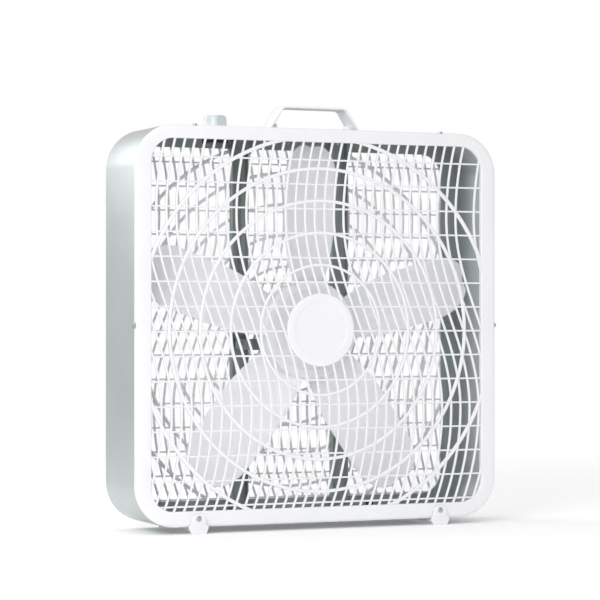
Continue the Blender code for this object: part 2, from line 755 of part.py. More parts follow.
def make_rear_grille():
    """Flat rim that sits in the shell's rear recess, with the same lattice turned about."""
    face = REAR_RIM_REAR_Y
    rings, cross_bars, waves = lattice_pieces("rear", face, -1)
    grille = finish("rear_grille", rings, "white_plastic")
    combine(grille, cross_bars, "UNION")
    combine(grille, waves, "UNION")
    combine(
        grille, opening_prism("rear_opening", rear_opening_loop, 0, REAR_Y + CUT_MARGIN),
        "INTERSECT",
    )
    rim = bmesh.new()
    edge = HEM_THICKNESS + GAP
    join_loops(rim, [
        outer_loop(rim, edge, REAR_RIM_FRONT_Y),
        outer_loop(rim, edge, face - HEM_ROUND),
        outer_loop(rim, edge + HEM_ROUND, face),
        rear_opening_loop(rim, HEM_ROUND, face),
        rear_opening_loop(rim, 0, face - HEM_ROUND),
        rear_opening_loop(rim, 0, REAR_RIM_FRONT_Y),
    ], closed=True)
    combine(grille, guide("rear_rim", rim), "UNION")
    spots = list(rear_screw_places().values())
    start = REAR_RIM_FRONT_Y - CUT_MARGIN
    end = face + CUT_MARGIN
    hole = screw_hole_radius()
    holes = hole_guide("rear_rim_holes", spots + foot_screw_spots(), hole, start, end)
    combine(grille, holes, "DIFFERENCE")
    pockets = hole_guide("rear_rim_pockets", spots, POCKET_RADIUS, face - POCKET_DEPTH, end)
    combine(grille, pockets, "DIFFERENCE")
    gland_hole = hole_guide(
        "rim_gland_hole", [gland_spot()], GLAND_BARREL_RADIUS + HOLE_CLEARANCE, start, end,
        GLAND_STEPS,
    )
    combine(grille, gland_hole, "DIFFERENCE")


def make_fasteners():
    for name, (position, direction) in edge_screw_places().items():
        seat = Vector(position) + Vector(direction) * GAP
        finish(name, screw_mesh(facing(seat, direction), EDGE_SCREW_LENGTH), "zinc_steel")
    seat_y = REAR_RIM_REAR_Y - POCKET_DEPTH + GAP
    for name, (x, z) in rear_screw_places().items():
        place = facing((x, seat_y, z), (0, 1, 0))
        length = seat_y - FLANGE_FRONT_Y + SCREW_END
        finish(name, screw_mesh(place, length), "zinc_steel")
    web_front = STRUT_REAR_Y - STRUT_SHEET
    for name, (x, z) in strut_screw_places().items():
        place = facing((x, web_front - GAP, z), (0, -1, 0))
        finish(name, screw_mesh(place, FLANGE_REAR_Y - web_front), "zinc_steel")
    ear_front = STRUT_FRONT_Y - GAP - EAR_THICKNESS
    for name, (x, z) in ear_screw_places().items():
        place = facing((x, ear_front - GAP, z), (0, -1, 0))
        finish(name, screw_mesh(place, STRUT_REAR_Y - ear_front), "zinc_steel")
    for index, (x, z) in enumerate(bolt_places()):
        place = facing((x, MOTOR_FRONT_Y - GAP, z), (0, -1, 0))
        length = MOTOR_REAR_Y - MOTOR_FRONT_Y + GAP * 2
        finish(f"motor_bolt_{index + 1}", screw_mesh(place, length), "zinc_steel")
    for side, word in ((-1, "left"), (1, "right")):
        for facing_y, end in ((-1, "front"), (1, "rear")):
            seat = facing_y * (foot_tab_inner(facing_y) + FOOT_TAB_THICKNESS - POCKET_DEPTH + GAP)
            place = facing((side * FOOT_X, seat, FOOT_SCREW_Z), (0, facing_y, 0))
            length = abs(seat) - FLANGE_FRONT_Y + SCREW_END if end == "rear" else FOOT_SCREW_Z * 0.7
            finish(f"foot_screw_{end}_{word}", screw_mesh(place, length), "zinc_steel")
        spot = (side * handle_screw_x(), HANDLE_Y, UNDER_TOP_Z - GAP)
        length = SHEET + GAP * 2 + HANDLE_BLOCK_HEIGHT - MM
        finish(f"handle_screw_{word}", screw_mesh(facing(spot, (0, 0, -1)), length), "zinc_steel")


def foot_tab_inner(facing_y):
    """Distance from the middle of the fan to the inner face of a foot's tab."""
    return (-FRONT_Y if facing_y < 0 else REAR_Y) + GAP


def foot_outline(x):
    """Front view of a foot's tab: narrow sole, wide shoulders, round top."""
    shoulder = FLOOR_CLEARANCE
    radius = FOOT_TAB_WIDTH / 2
    centre_z = FOOT_TAB_TOP - radius
    points = [
        (x - FOOT_SOLE_WIDTH / 2, 0),
        (x + FOOT_SOLE_WIDTH / 2, 0),
        (x + FOOT_SHOULDER_WIDTH / 2, shoulder),
        (x + radius, shoulder + (FOOT_SHOULDER_WIDTH - FOOT_TAB_WIDTH) / 2),
    ]
    for step in range(9):
        angle = math.pi * step / 8
        points.append((x + radius * math.cos(angle), centre_z + radius * math.sin(angle)))
    points.append((x - radius, shoulder + (FOOT_SHOULDER_WIDTH - FOOT_TAB_WIDTH) / 2))
    points.append((x - FOOT_SHOULDER_WIDTH / 2, shoulder))
    return points


def make_foot(name, x):
    """A foot that runs under the fan, with a screwed tab and a pad at each end."""
    front = -foot_tab_inner(-1)
    rear = foot_tab_inner(1)
    bm = bmesh.new()
    prism(bm, foot_outline(x), front - FOOT_TAB_THICKNESS, front)
    foot = finish(name, bm, "white_plastic")
    rear_tab = bmesh.new()
    prism(rear_tab, foot_outline(x), rear, rear + FOOT_TAB_THICKNESS)
    bar = bmesh.new()
    bar_top = FLOOR_CLEARANCE - GAP
    half = FOOT_TAB_WIDTH / 2
    add_box(bar, (x - half, front - MM, bar_top - FOOT_BAR_THICKNESS), (x + half, rear + MM, bar_top))
    pads = bmesh.new()
    half_top = FOOT_PAD_WIDTH / 2
    sole = half_top - MM / 2
    pad_outline = [(x - sole, 0), (x + sole, 0), (x + half_top, bar_top - MM), (x - half_top, bar_top - MM)]
    prism(pads, pad_outline, front - MM, front + FOOT_PAD_LENGTH)
    prism(pads, pad_outline, rear - FOOT_PAD_LENGTH, rear + MM)
    combine(foot, guide(name + "_bar", bar), "UNION")
    combine(foot, guide(name + "_pads", pads), "UNION")
    combine(foot, guide(name + "_rear_tab", rear_tab), "UNION")
    holes = bmesh.new()
    reach = rear + FOOT_TAB_THICKNESS + CUT_MARGIN
    centre = (x, 0, FOOT_SCREW_Z)
    add_cylinder(holes, screw_hole_radius(), -reach, reach, centre=centre, steps=SCREW_STEPS)
    combine(foot, guide(name + "_hole", holes), "DIFFERENCE")
    pockets = bmesh.new()
    pocket_start = rear + FOOT_TAB_THICKNESS - POCKET_DEPTH
    add_cylinder(pockets, POCKET_RADIUS, pocket_start, reach, centre=centre, steps=SCREW_STEPS * 2)
    front_start = front - FOOT_TAB_THICKNESS + POCKET_DEPTH
    add_cylinder(pockets, POCKET_RADIUS, -reach, front_start, centre=centre, steps=SCREW_STEPS * 2)
    combine(foot, guide(name + "_pockets", pockets), "DIFFERENCE")


def handle_screw_x():
    return HANDLE_BASE_SPAN / 2 - HANDLE_BLOCK_LENGTH / 2


def make_handle():
    """A strap bent to a flat-topped arch, with a screw block inside each foot."""
    base = TOP_Z + GAP
    top = base + HANDLE_RISE
    slope = math.atan2(HANDLE_RISE, (HANDLE_BASE_SPAN - HANDLE_TOP_SPAN) / 2)
    outer = arch_outline(HANDLE_BASE_SPAN, HANDLE_TOP_SPAN, base, top, HANDLE_ROUND)
    shrink = 2 * HANDLE_THICKNESS / math.sin(slope)
    inner_top_span = HANDLE_TOP_SPAN - 2 * HANDLE_THICKNESS * math.tan(slope / 2)
    inner = arch_outline(
        HANDLE_BASE_SPAN - shrink, inner_top_span, base, top - HANDLE_THICKNESS,
        HANDLE_ROUND - HANDLE_THICKNESS,
    )
    bm = bmesh.new()
    half = HANDLE_WIDTH / 2
    prism(bm, outer + inner[::-1], HANDLE_Y - half, HANDLE_Y + half)
    handle = finish("carry_handle", bm, "white_plastic")
    blocks = bmesh.new()
    for side in (-1, 1):
        x = side * handle_screw_x()
        half_length = HANDLE_BLOCK_LENGTH / 2
        half_block = HANDLE_BLOCK_WIDTH / 2
        add_box(
            blocks,
            (x - half_length, HANDLE_Y - half_block, base),
            (x + half_length, HANDLE_Y + half_block, base + HANDLE_BLOCK_HEIGHT),
        )
    slant = bmesh.new()
    prism(slant, outer, HANDLE_Y - HANDLE_WIDTH, HANDLE_Y + HANDLE_WIDTH)
    block_guide = guide("handle_blocks", blocks)
    combine(block_guide, guide("handle_side", slant), "INTERSECT")
    combine(handle, block_guide, "UNION")
    holes = bmesh.new()
    for side in (-1, 1):
        add_cylinder(
            holes, screw_hole_radius(), base - CUT_MARGIN, base + HANDLE_BLOCK_HEIGHT - MM / 2,
            ALONG_Z, (side * handle_screw_x(), HANDLE_Y, 0), SCREW_STEPS,
        )
    combine(handle, guide("handle_holes", holes), "DIFFERENCE")


def arch_outline(base_span, top_span, low, high, radius):
    """(x, z) points up one leg, round two corners and down the other leg."""
    slope = math.atan2(high - low, (base_span - top_span) / 2)
    setback = radius * math.tan(slope / 2)
    centre = (top_span / 2 - setback, high - radius)
    points = [(base_span / 2, low)]
    for step in range(5):
        angle = (math.pi / 2 - slope) + slope * step / 4
        points.append((centre[0] + radius * math.cos(angle), centre[1] + radius * math.sin(angle)))
    return points + [(-x, z) for x, z in reversed(points)]


def make_strut(name, x):
    """An upright steel channel, open towards the front, screwed to the shell's rear flange."""
    half = STRUT_WIDTH / 2
    wall = STRUT_SHEET
    low = BOTTOM_Z + SHEET + GAP
    high = TOP_Z - SHEET - GAP
    outline = [
        (-half, STRUT_FRONT_Y), (-half, STRUT_REAR_Y), (half, STRUT_REAR_Y),
        (half, STRUT_FRONT_Y), (half - wall, STRUT_FRONT_Y), (half - wall, STRUT_REAR_Y - wall),
        (wall - half, STRUT_REAR_Y - wall), (wall - half, STRUT_FRONT_Y),
    ]
    bm = bmesh.new()
    ends = [[bm.verts.new((x + px, py, z)) for px, py in outline] for z in (low, high)]
    join_loops(bm, ends, closed=False)
    strut = finish(name, bm, "strut_steel")
    spots = [
        spot
        for places in (strut_screw_places(), ear_screw_places())
        for spot in places.values()
        if spot[0] == x
    ]
    start = STRUT_REAR_Y - STRUT_SHEET - CUT_MARGIN
    holes = hole_guide(name + "_holes", spots, screw_hole_radius(), start, REAR_Y)
    combine(strut, holes, "DIFFERENCE")


def shell_outline(open_y, closed_y, seat_end_y):
    """Cross-section of a motor shell, from its open edge to its closed end and bearing seat."""
    towards = 1 if closed_y > open_y else -1
    wall = MOTOR_SHELL_WALL
    seat = BEARING_RADIUS + GAP
    boss = BEARING_RADIUS + BEARING_WALL
    inner_end = closed_y - towards * wall
    return [
        (MOTOR_RADIUS, open_y),
        (MOTOR_RADIUS, closed_y - towards * MOTOR_SHELL_SLOPE),
        (MOTOR_RADIUS - MOTOR_SHELL_SLOPE, closed_y),
        (boss, closed_y),
        (boss, closed_y + towards * BEARING_PROUD),
        (seat, closed_y + towards * BEARING_PROUD),
        (seat, seat_end_y),
        (boss, seat_end_y),
        (boss, inner_end),
        (MOTOR_RADIUS - MOTOR_SHELL_SLOPE, inner_end),
        (MOTOR_RADIUS - wall, closed_y - towards * (MOTOR_SHELL_SLOPE + wall / 2)),
        (MOTOR_RADIUS - wall, open_y),
    ]


def make_motor():
    seat_length = BEARING_LENGTH + GAP
    front_seat_end = MOTOR_FRONT_Y - BEARING_PROUD + seat_length
    rear_seat_end = MOTOR_REAR_Y + BEARING_PROUD - seat_length
    spots = list(bolt_places()) + list(ear_screw_places().values())
    through = hole_guide("motor_holes", spots, screw_hole_radius(), 0, REAR_Y)
    front_outline = shell_outline(STATOR_FRONT_Y - GAP, MOTOR_FRONT_Y, front_seat_end)
    front = finish("motor_shell_front", turned_mesh(front_outline), "motor_steel")
    combine(front, through, "DIFFERENCE")
    rear_outline = shell_outline(STATOR_REAR_Y + GAP, MOTOR_REAR_Y, rear_seat_end)
    rear = finish("motor_shell_rear", turned_mesh(rear_outline), "motor_steel")
    combine(rear, ear_guide(), "UNION")
    combine(rear, through, "DIFFERENCE")
    core = turned_mesh([
        (STATOR_BORE, STATOR_FRONT_Y), (MOTOR_RADIUS, STATOR_FRONT_Y),
        (MOTOR_RADIUS, STATOR_REAR_Y), (STATOR_BORE, STATOR_REAR_Y),
    ])
    combine(finish("stator_core", core, "motor_steel"), through, "DIFFERENCE")
    make_winding("winding_front", STATOR_FRONT_Y - GAP, -1)
    make_winding("winding_rear", STATOR_REAR_Y + GAP, 1)
    make_bearing("bearing_front", MOTOR_FRONT_Y - BEARING_PROUD, 1)
    make_bearing("bearing_rear", MOTOR_REAR_Y + BEARING_PROUD, -1)


def ear_guide():
    """Two straps across the rear shell, whose four ends are the ears that meet the struts."""
    bm = bmesh.new()
    rear = STRUT_FRONT_Y - GAP
    reach = STRUT_X + EAR_OVERREACH
    start = math.sqrt(MOTOR_RADIUS ** 2 - (EAR_RISE + EAR_HEIGHT / 2) ** 2) - EAR_BITE
    for side in (-1, 1):
        for rise in (-EAR_RISE, EAR_RISE):
            x_low, x_high = sorted((side * start, side * reach))
            z = AXIS_Z + rise
            add_box(
                bm,
                (x_low, rear - EAR_THICKNESS, z - EAR_HEIGHT / 2),
                (x_high, rear, z + EAR_HEIGHT / 2),
            )
    return guide("ears", bm)


def make_winding(name, start, towards):
    end = start + towards * WINDING_DEPTH
    chamfer = towards * WINDING_DEPTH / 4
    bm = turned_mesh([
        (WINDING_INNER, start), (WINDING_OUTER, start), (WINDING_OUTER, end - chamfer),
        (WINDING_OUTER - abs(chamfer), end), (WINDING_INNER + abs(chamfer), end),
        (WINDING_INNER, end - chamfer),
    ])
    finish(name, bm, "copper_winding")


def make_bearing(name, outer_y, towards):
    start = outer_y + towards * GAP / 2
    end = start + towards * BEARING_LENGTH
    bore = SHAFT_RADIUS + RUNNING_GAP
    bm = turned_mesh([(bore, start), (BEARING_RADIUS, start), (BEARING_RADIUS, end), (bore, end)])
    finish(name, bm, "sintered_bronze")


def make_rotor():
    start = STATOR_FRONT_Y - ROTOR_OVERHANG
    end = STATOR_REAR_Y + ROTOR_OVERHANG
    radius = STATOR_BORE - ROTOR_GAP
    bore = SHAFT_RADIUS + GAP
    core = turned_mesh([(bore, start), (radius, start), (radius, end), (bore, end)])
    finish("rotor_core", core, "motor_steel", parent="fan_axis")
    nose = HUB_FRONT_Y - SHAFT_NOSE
    tail = MOTOR_REAR_Y + BEARING_PROUD
    shaft = solid_turned([
        (SHAFT_RADIUS - MM / 2, nose), (SHAFT_RADIUS, nose + MM / 2), (SHAFT_RADIUS, tail),
    ])
    finish("motor_shaft", shaft, "zinc_steel", parent="fan_axis")
    clip_rear = HUB_FRONT_Y - GAP
    clip = turned_mesh([
        (bore, clip_rear), (SHAFT_RADIUS * 2.2, clip_rear),
        (SHAFT_RADIUS * 1.8, clip_rear - 2 * MM), (bore, clip_rear - 2 * MM),
    ], steps=ROUND_STEPS // 2)
    finish("blade_clip", clip, "zinc_steel", parent="fan_axis")


def blade_half_chord(radius):
    """Half of a blade's width at a radius: opening out from the hub, then closing round the tip."""
    if radius > BLADE_SHOULDER:
        share = (radius - BLADE_SHOULDER) / (BLADE_TIP - BLADE_SHOULDER)
        rounding = 1 - math.sqrt(max(0.0, 1 - share * share))
        return BLADE_HALF_CHORD + (BLADE_TIP_HALF_CHORD - BLADE_HALF_CHORD) * rounding
    share = (radius - BLADE_CHORD_START) / (BLADE_SHOULDER - BLADE_CHORD_START)
    opening = math.sin(math.pi / 2 * min(1.0, share * 1.6))
    return BLADE_ROOT_HALF_CHORD + (BLADE_HALF_CHORD - BLADE_ROOT_HALF_CHORD) * opening


def blade_point(along, across, blade_angle):
    """A point on a blade's middle surface; along runs 0 to 1 from root to tip, across -1 to 1."""
    radius = BLADE_ROOT + (BLADE_TIP - BLADE_ROOT) * math.sin(math.pi / 2 * along)
    chord = blade_half_chord(radius) * across
    slope = BLADE_RISE / (radius + BLADE_RISE_RADIUS)
    angle = blade_angle + chord / radius
    depth = BLADE_CAMBER * (1 - across * across) - chord * slope
    return Vector((
        radius * math.cos(angle), BLADE_MIDDLE_Y + depth, AXIS_Z + radius * math.sin(angle)
    ))


def make_fan_blade():
    """A cup-shaped hub with a bored boss for the shaft, and its blades."""
    bore = SHAFT_RADIUS + GAP
    hub = turned_mesh([
        (bore, HUB_FRONT_Y), (HUB_RADIUS - HUB_ROUND, HUB_FRONT_Y),
        (HUB_RADIUS - HUB_ROUND * 0.3, HUB_FRONT_Y + HUB_ROUND * 0.3),
        (HUB_RADIUS, HUB_FRONT_Y + HUB_ROUND), (HUB_RADIUS, HUB_REAR_Y),
        (HUB_RADIUS - HUB_WALL, HUB_REAR_Y), (HUB_RADIUS - HUB_WALL, HUB_FRONT_Y + HUB_ROUND),
        (HUB_RADIUS - HUB_ROUND, HUB_FRONT_Y + HUB_WALL), (HUB_BOSS_RADIUS, HUB_FRONT_Y + HUB_WALL),
        (HUB_BOSS_RADIUS, HUB_REAR_Y), (bore, HUB_REAR_Y),
    ])
    fan = finish("fan_blade", hub, "blade_plastic", parent="fan_axis")
    blades = bmesh.new()
    for index in range(BLADE_COUNT):
        angle = math.radians(FIRST_BLADE_DEG) + 2 * math.pi * index / BLADE_COUNT
        append(blades, blade_mesh(angle))
    combine(fan, guide("blades", blades, parent="fan_axis"), "UNION")


def blade_mesh(angle):
    bm = bmesh.new()
    bmesh.ops.create_grid(bm, x_segments=BLADE_STEPS, y_segments=CHORD_STEPS, size=1.0)
    for vert in bm.verts:
        vert.co = blade_point((vert.co.x + 1) / 2, vert.co.y, angle)
    bm.normal_update()
    bmesh.ops.solidify(bm, geom=bm.faces, thickness=BLADE_THICKNESS)
    return bm


def make_switch():
    """Rotary switch under the top wall, its nut and dial plate above it, its spindle and knob."""
    centre = (KNOB_X, 0, 0)
    body_top = UNDER_TOP_Z - GAP
    body_bottom = body_top - SWITCH_HEIGHT
    dial_bottom = TOP_Z + GAP
    dial_top = dial_bottom + DIAL_THICKNESS
    nut_bottom = dial_top + GAP
    nut_top = nut_bottom + NUT_HEIGHT
    bm = bmesh.new()
    half_width = SWITCH_WIDTH / 2
    half_length = SWITCH_LENGTH / 2
    add_box(
        bm, (KNOB_X - half_width, -half_length, body_bottom),
        (KNOB_X + half_width, half_length, body_top),
    )
    body = finish("rotary_switch", bm, "black_plastic")
    bush = bmesh.new()
    add_cylinder(bush, BUSH_RADIUS, body_top - MM, nut_top, ALONG_Z, centre, SCREW_STEPS * 2)
    combine(body, guide("switch_bush", bush), "UNION")
    spindle_hole = bmesh.new()
    spindle_low = body_top - SPINDLE_SEAT
    add_cylinder(
        spindle_hole, SPINDLE_RADIUS + GAP, spindle_low, nut_top + CUT_MARGIN, ALONG_Z, centre,
        SCREW_STEPS * 2,
    )
    combine(body, guide("spindle_hole", spindle_hole), "DIFFERENCE")
    dial = turned_mesh([
        (BUSH_RADIUS + GAP, dial_bottom), (DIAL_RADIUS, dial_bottom),
        (DIAL_RADIUS, dial_top), (BUSH_RADIUS + GAP, dial_top),
    ], centre, ALONG_Z)
    finish("dial_plate", dial, "white_plastic")
    nut_bore = (BUSH_RADIUS + GAP) / math.cos(math.pi / 6)
    nut = turned_mesh([
        (nut_bore, nut_bottom), (NUT_RADIUS, nut_bottom),
        (NUT_RADIUS, nut_top), (nut_bore, nut_top),
    ], centre, ALONG_Z, steps=6)
    finish("switch_nut", nut, "zinc_steel")
    knob_bottom = dial_top + GAP * 2
    knob_top = knob_bottom + KNOB_HEIGHT
    bore_top = knob_top - KNOB_TOP_WALL
    spindle = solid_turned([
        (SPINDLE_RADIUS, spindle_low + GAP), (SPINDLE_RADIUS, bore_top - GAP),
    ], centre, ALONG_Z, SCREW_STEPS * 2)
    finish("switch_spindle", spindle, "zinc_steel", parent="switch_axis")
    knob = solid_turned([
        (KNOB_RADIUS, knob_bottom), (KNOB_RADIUS, knob_top - KNOB_ROUND),
        (KNOB_RADIUS - KNOB_ROUND * 0.3, knob_top - KNOB_ROUND * 0.3),
        (KNOB_RADIUS - KNOB_ROUND, knob_top),
    ], centre, ALONG_Z)
    knob = finish("speed_knob", knob, "knob_plastic", parent="switch_axis")
    hollow = solid_turned([
        (KNOB_HOLLOW_RADIUS, knob_bottom - CUT_MARGIN),
        (KNOB_HOLLOW_RADIUS, knob_bottom + KNOB_HOLLOW_DEPTH),
        (SPINDLE_RADIUS + GAP, knob_bottom + KNOB_HOLLOW_DEPTH),
        (SPINDLE_RADIUS + GAP, bore_top),
    ], centre, ALONG_Z, SCREW_STEPS * 2)
    combine(knob, guide("knob_hollow", hollow, parent="switch_axis"), "DIFFERENCE")


def capacitor_box():
    """Lowest and highest corner of the capacitor, in front of the left strut, under the top wall."""
    rear = STRUT_FRONT_Y - GAP
    top = UNDER_TOP_Z - GAP
    half = CAPACITOR_WIDTH / 2
    low = Vector((-STRUT_X - half, rear - CAPACITOR_THICKNESS, top - CAPACITOR_HEIGHT))
    high = Vector((-STRUT_X + half, rear, top))
    return low, high


def make_capacitor():
    bm = bmesh.new()
    add_box(bm, *capacitor_box())
    bmesh.ops.bevel(
        bm, geom=bm.edges[:], offset=MM, segments=1, profile=0.5, affect="EDGES", material=-1
    )
    finish("run_capacitor", bm, "motor_steel")


def make_lead(name, route):
    """A round lead in a sleeve, along a smooth curve through its route."""
    points = smooth_points([Vector(p) for p in route])
    bm = bmesh.new()
    rings = []
    side = Vector((1, 0, 0))
    for index, point in enumerate(points):
        before = points[max(index - 1, 0)]
        after = points[min(index + 1, len(points) - 1)]
        along = (after - before).normalized()
        side = (side - along * side.dot(along)).normalized()
        up = along.cross(side)
        ring = []
        for step in range(LEAD_SIDES):
            angle = 2 * math.pi * step / LEAD_SIDES
            offset = side * math.cos(angle) + up * math.sin(angle)
            ring.append(bm.verts.new(point + offset * LEAD_RADIUS))
        rings.append(ring)
    join_loops(bm, rings, closed=False)
    finish(name, bm, "black_plastic")


def smooth_points(route):
    """Points every few millimetres along a Catmull-Rom curve through the route."""
    padded = [2 * route[0] - route[1]] + route + [2 * route[-1] - route[-2]]
    points = []
    for a, b, c, d in zip(padded, padded[1:], padded[2:], padded[3:]):
        steps = max(2, min(6, round((c - b).length / LEAD_STEP)))
        for step in range(steps):
            t = step / steps
            points.append(0.5 * (
                2 * b + (c - a) * t + (2 * a - 5 * b + 4 * c - d) * t * t
                + (3 * b - a - 3 * c + d) * t * t * t
            ))
    return points + [route[-1]]


def make_leads():
    """One lead from the switch to the capacitor, and one from there down the left strut to the motor."""
    low, high = capacitor_box()
    switch_side = KNOB_X + SWITCH_WIDTH / 2 + LEAD_GAP
    lead_z = UNDER_TOP_Z - SWITCH_HEIGHT * 0.7
    front = (low.y + high.y) / 2
    run = low.x - LEAD_GAP - switch_side
    make_lead("switch_lead", [
        (switch_side, 0, lead_z),
        (switch_side + run * 2 / 7, front * 0.15, lead_z),
        (switch_side + run * 9 / 14, front * 0.9, lead_z),
        (switch_side + run, front, lead_z),
    ])
    channel_y = STRUT_FRONT_Y + (STRUT_DEPTH - STRUT_SHEET) * 0.4
    ahead_y = STRUT_FRONT_Y - GAP - EAR_THICKNESS - SCREW_HEAD_HEIGHT - LEAD_RADIUS * 2
    shell_x = -MOTOR_RADIUS - LEAD_GAP
    make_lead("motor_lead", [
        (-STRUT_X, front, low.z - LEAD_GAP),
        (-STRUT_X, front, low.z - 12 * MM),
        (-STRUT_X, channel_y, low.z - 50 * MM),
        (-STRUT_X, channel_y, AXIS_Z + EAR_RISE + 70 * MM),
        (-STRUT_X, ahead_y, AXIS_Z + EAR_RISE + 34 * MM),
        (-STRUT_X + 2 * MM, ahead_y - MM, AXIS_Z + EAR_RISE),
        (shell_x - 16 * MM, ahead_y, AXIS_Z + 3 * MM),
        (shell_x, ahead_y, AXIS_Z),
    ])


def gland_spot():
    """(x, z) of the cord gland: the middle of the rear rim's bottom."""
    return GLAND_X, BOTTOM_Z + HEM_THICKNESS + (REAR_RIM_BOTTOM - HEM_THICKNESS) / 2


def make_cord_gland():
    x, z = gland_spot()
    face = REAR_RIM_REAR_Y + GAP
    head = face + GLAND_HEAD_THICKNESS
    tail = FLANGE_FRONT_Y - GLAND_TAIL
    bm = turned_mesh([
        (GLAND_BORE_RADIUS, tail), (GLAND_BARREL_RADIUS, tail), (GLAND_BARREL_RADIUS, face),
        (GLAND_HEAD_RADIUS, face), (GLAND_HEAD_RADIUS, head - GLAND_HEAD_THICKNESS / 2),
        (GLAND_HEAD_RADIUS - GLAND_HEAD_THICKNESS / 2, head), (GLAND_BORE_RADIUS, head),
    ], centre=(x, 0, z), steps=GLAND_STEPS)
    finish("cord_gland", bm, "black_plastic")


clear_scene()
make_materials()
make_axis_empties()
make_housing()
make_front_grille()
make_rear_grille()
make_foot("foot_left", -FOOT_X)
make_foot("foot_right", FOOT_X)
make_handle()
make_strut("strut_left", -STRUT_X)
make_strut("strut_right", STRUT_X)
make_motor()
make_rotor()
make_fan_blade()
make_switch()
make_capacitor()
make_leads()
make_cord_gland()
make_fasteners()
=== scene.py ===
"""The finished look of a 20-inch box fan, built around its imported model.

The fan stands on the floor plane, its front faces -Y and the origin lies on the floor
under its middle. Lengths are in metres, written as multiples of a millimetre.
"""

import json
import math

import bmesh
import bpy
from mathutils import Matrix, Vector


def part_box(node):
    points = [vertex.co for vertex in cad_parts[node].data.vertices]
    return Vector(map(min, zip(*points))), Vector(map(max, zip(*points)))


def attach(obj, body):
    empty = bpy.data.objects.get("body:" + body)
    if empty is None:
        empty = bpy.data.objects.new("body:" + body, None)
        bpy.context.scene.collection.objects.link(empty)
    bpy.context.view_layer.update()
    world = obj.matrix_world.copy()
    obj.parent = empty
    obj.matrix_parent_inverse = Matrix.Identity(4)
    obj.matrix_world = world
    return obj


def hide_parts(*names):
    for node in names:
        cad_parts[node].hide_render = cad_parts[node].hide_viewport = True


MM = 0.001

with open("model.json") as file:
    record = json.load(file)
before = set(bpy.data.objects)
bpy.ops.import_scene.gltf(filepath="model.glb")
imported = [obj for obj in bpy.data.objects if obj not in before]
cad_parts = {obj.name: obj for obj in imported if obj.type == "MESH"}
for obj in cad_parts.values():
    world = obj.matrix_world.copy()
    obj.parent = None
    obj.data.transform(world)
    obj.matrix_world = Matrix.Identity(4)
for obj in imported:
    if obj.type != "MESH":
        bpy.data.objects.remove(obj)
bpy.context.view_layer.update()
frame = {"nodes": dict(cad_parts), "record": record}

# Shell
FAN_SIZE = 521 * MM
HALF = FAN_SIZE / 2
BOTTOM = 9 * MM
TOP = BOTTOM + FAN_SIZE
MIDDLE_Z = BOTTOM + HALF
AXIS_Z = MIDDLE_Z - 6 * MM
FRONT_Y = -59 * MM
REAR_Y = 59 * MM
SEAM_Y = FRONT_Y + 5.3 * MM
CORNER_RADIUS = 55 * MM
CORNER_STEPS = 18
SHEET = 1 * MM
GAP = 0.3 * MM
HEM = 2.6 * MM
FLANGE_Y = 54 * MM
TAB_RADIUS = 3.3 * MM

# Front rim
RIM_ROUND = 0.9 * (SEAM_Y - FRONT_Y)
RIM_LIP_ROUND = 1.4 * MM
RIM_WALL = 2.2 * MM
RIM_PLATE_BACK = FRONT_Y + 2.6 * MM
RIM_LIP_BACK = FRONT_Y + 6.5 * MM
RIM_SKIRT_BACK = SEAM_Y + 9 * MM
RIM_SKIRT_OUTER = 1.3 * MM
RIM_SKIRT_INNER = 3.5 * MM
NOTCH_RADIUS = 3.7 * MM
NOTCH_DEPTH = 1.3 * MM
NOTCH_REACH = 4 * MM

# Rear rim
REAR_RIM_BACK = 58.6 * MM
REAR_RIM_FRONT = 55.3 * MM
REAR_RIM_INSET = 2.9 * MM
REAR_RIM_ROUND = 0.8 * MM
SINK_FLOOR = 56.9 * MM
SINK_TOP = 60 * MM

CUT_MARGIN = 2 * MM
MERGE_DISTANCE = 0.002 * MM

# Openings of the two grilles: left, right, low, high, corner radius
FRONT_OPENING = (-238.5 * MM, 238.5 * MM, 29.5 * MM, 512 * MM, 31 * MM)
REAR_OPENING = (-233.5 * MM, 233.5 * MM, 34 * MM, 508 * MM, 31 * MM)

# Lattice
DISC_RADIUS = 48.5 * MM
RINGS = ((86, 3.4), (128.5, 3.8), (171, 4.1), (213.5, 4.3), (256, 4.8))
RING_STEPS = 144
CROSS_BAR_COUNT = 15
CROSS_BAR_PITCH = 32.35 * MM
CROSS_BAR_MIDDLE = 262 * MM
CROSS_BAR_WIDTH = 2.3 * MM
WAVE_PITCH = 13.93 * MM
WAVE_OFFSET = -5.06 * MM
WAVE_WIDTH = 3.0 * MM
WAVE_SWING = 31.6 * MM
WAVE_MIDDLE = 285.5 * MM
WAVE_HALF_LENGTH = 256 * MM
WAVE_TOP_RADIUS = 396 * MM
WAVE_BOTTOM_RADIUS = 330 * MM
WAVE_REACH = 19
MISSING_WAVE = 18
BAR_BITE = 4 * MM
BAR_BACKSET = 2.6 * MM
WAVE_DEPTH = 3.0 * MM
WAVE_CUTS = 44
CROSS_BAR_DEPTH = 2.4 * MM
SHORTEST_BAR = 8 * MM
RING_BACKSET = 0.6 * MM
RING_DEPTH = 4.0 * MM
RING_ROUND = 1.1 * MM
WIDE_RING = 225 * MM

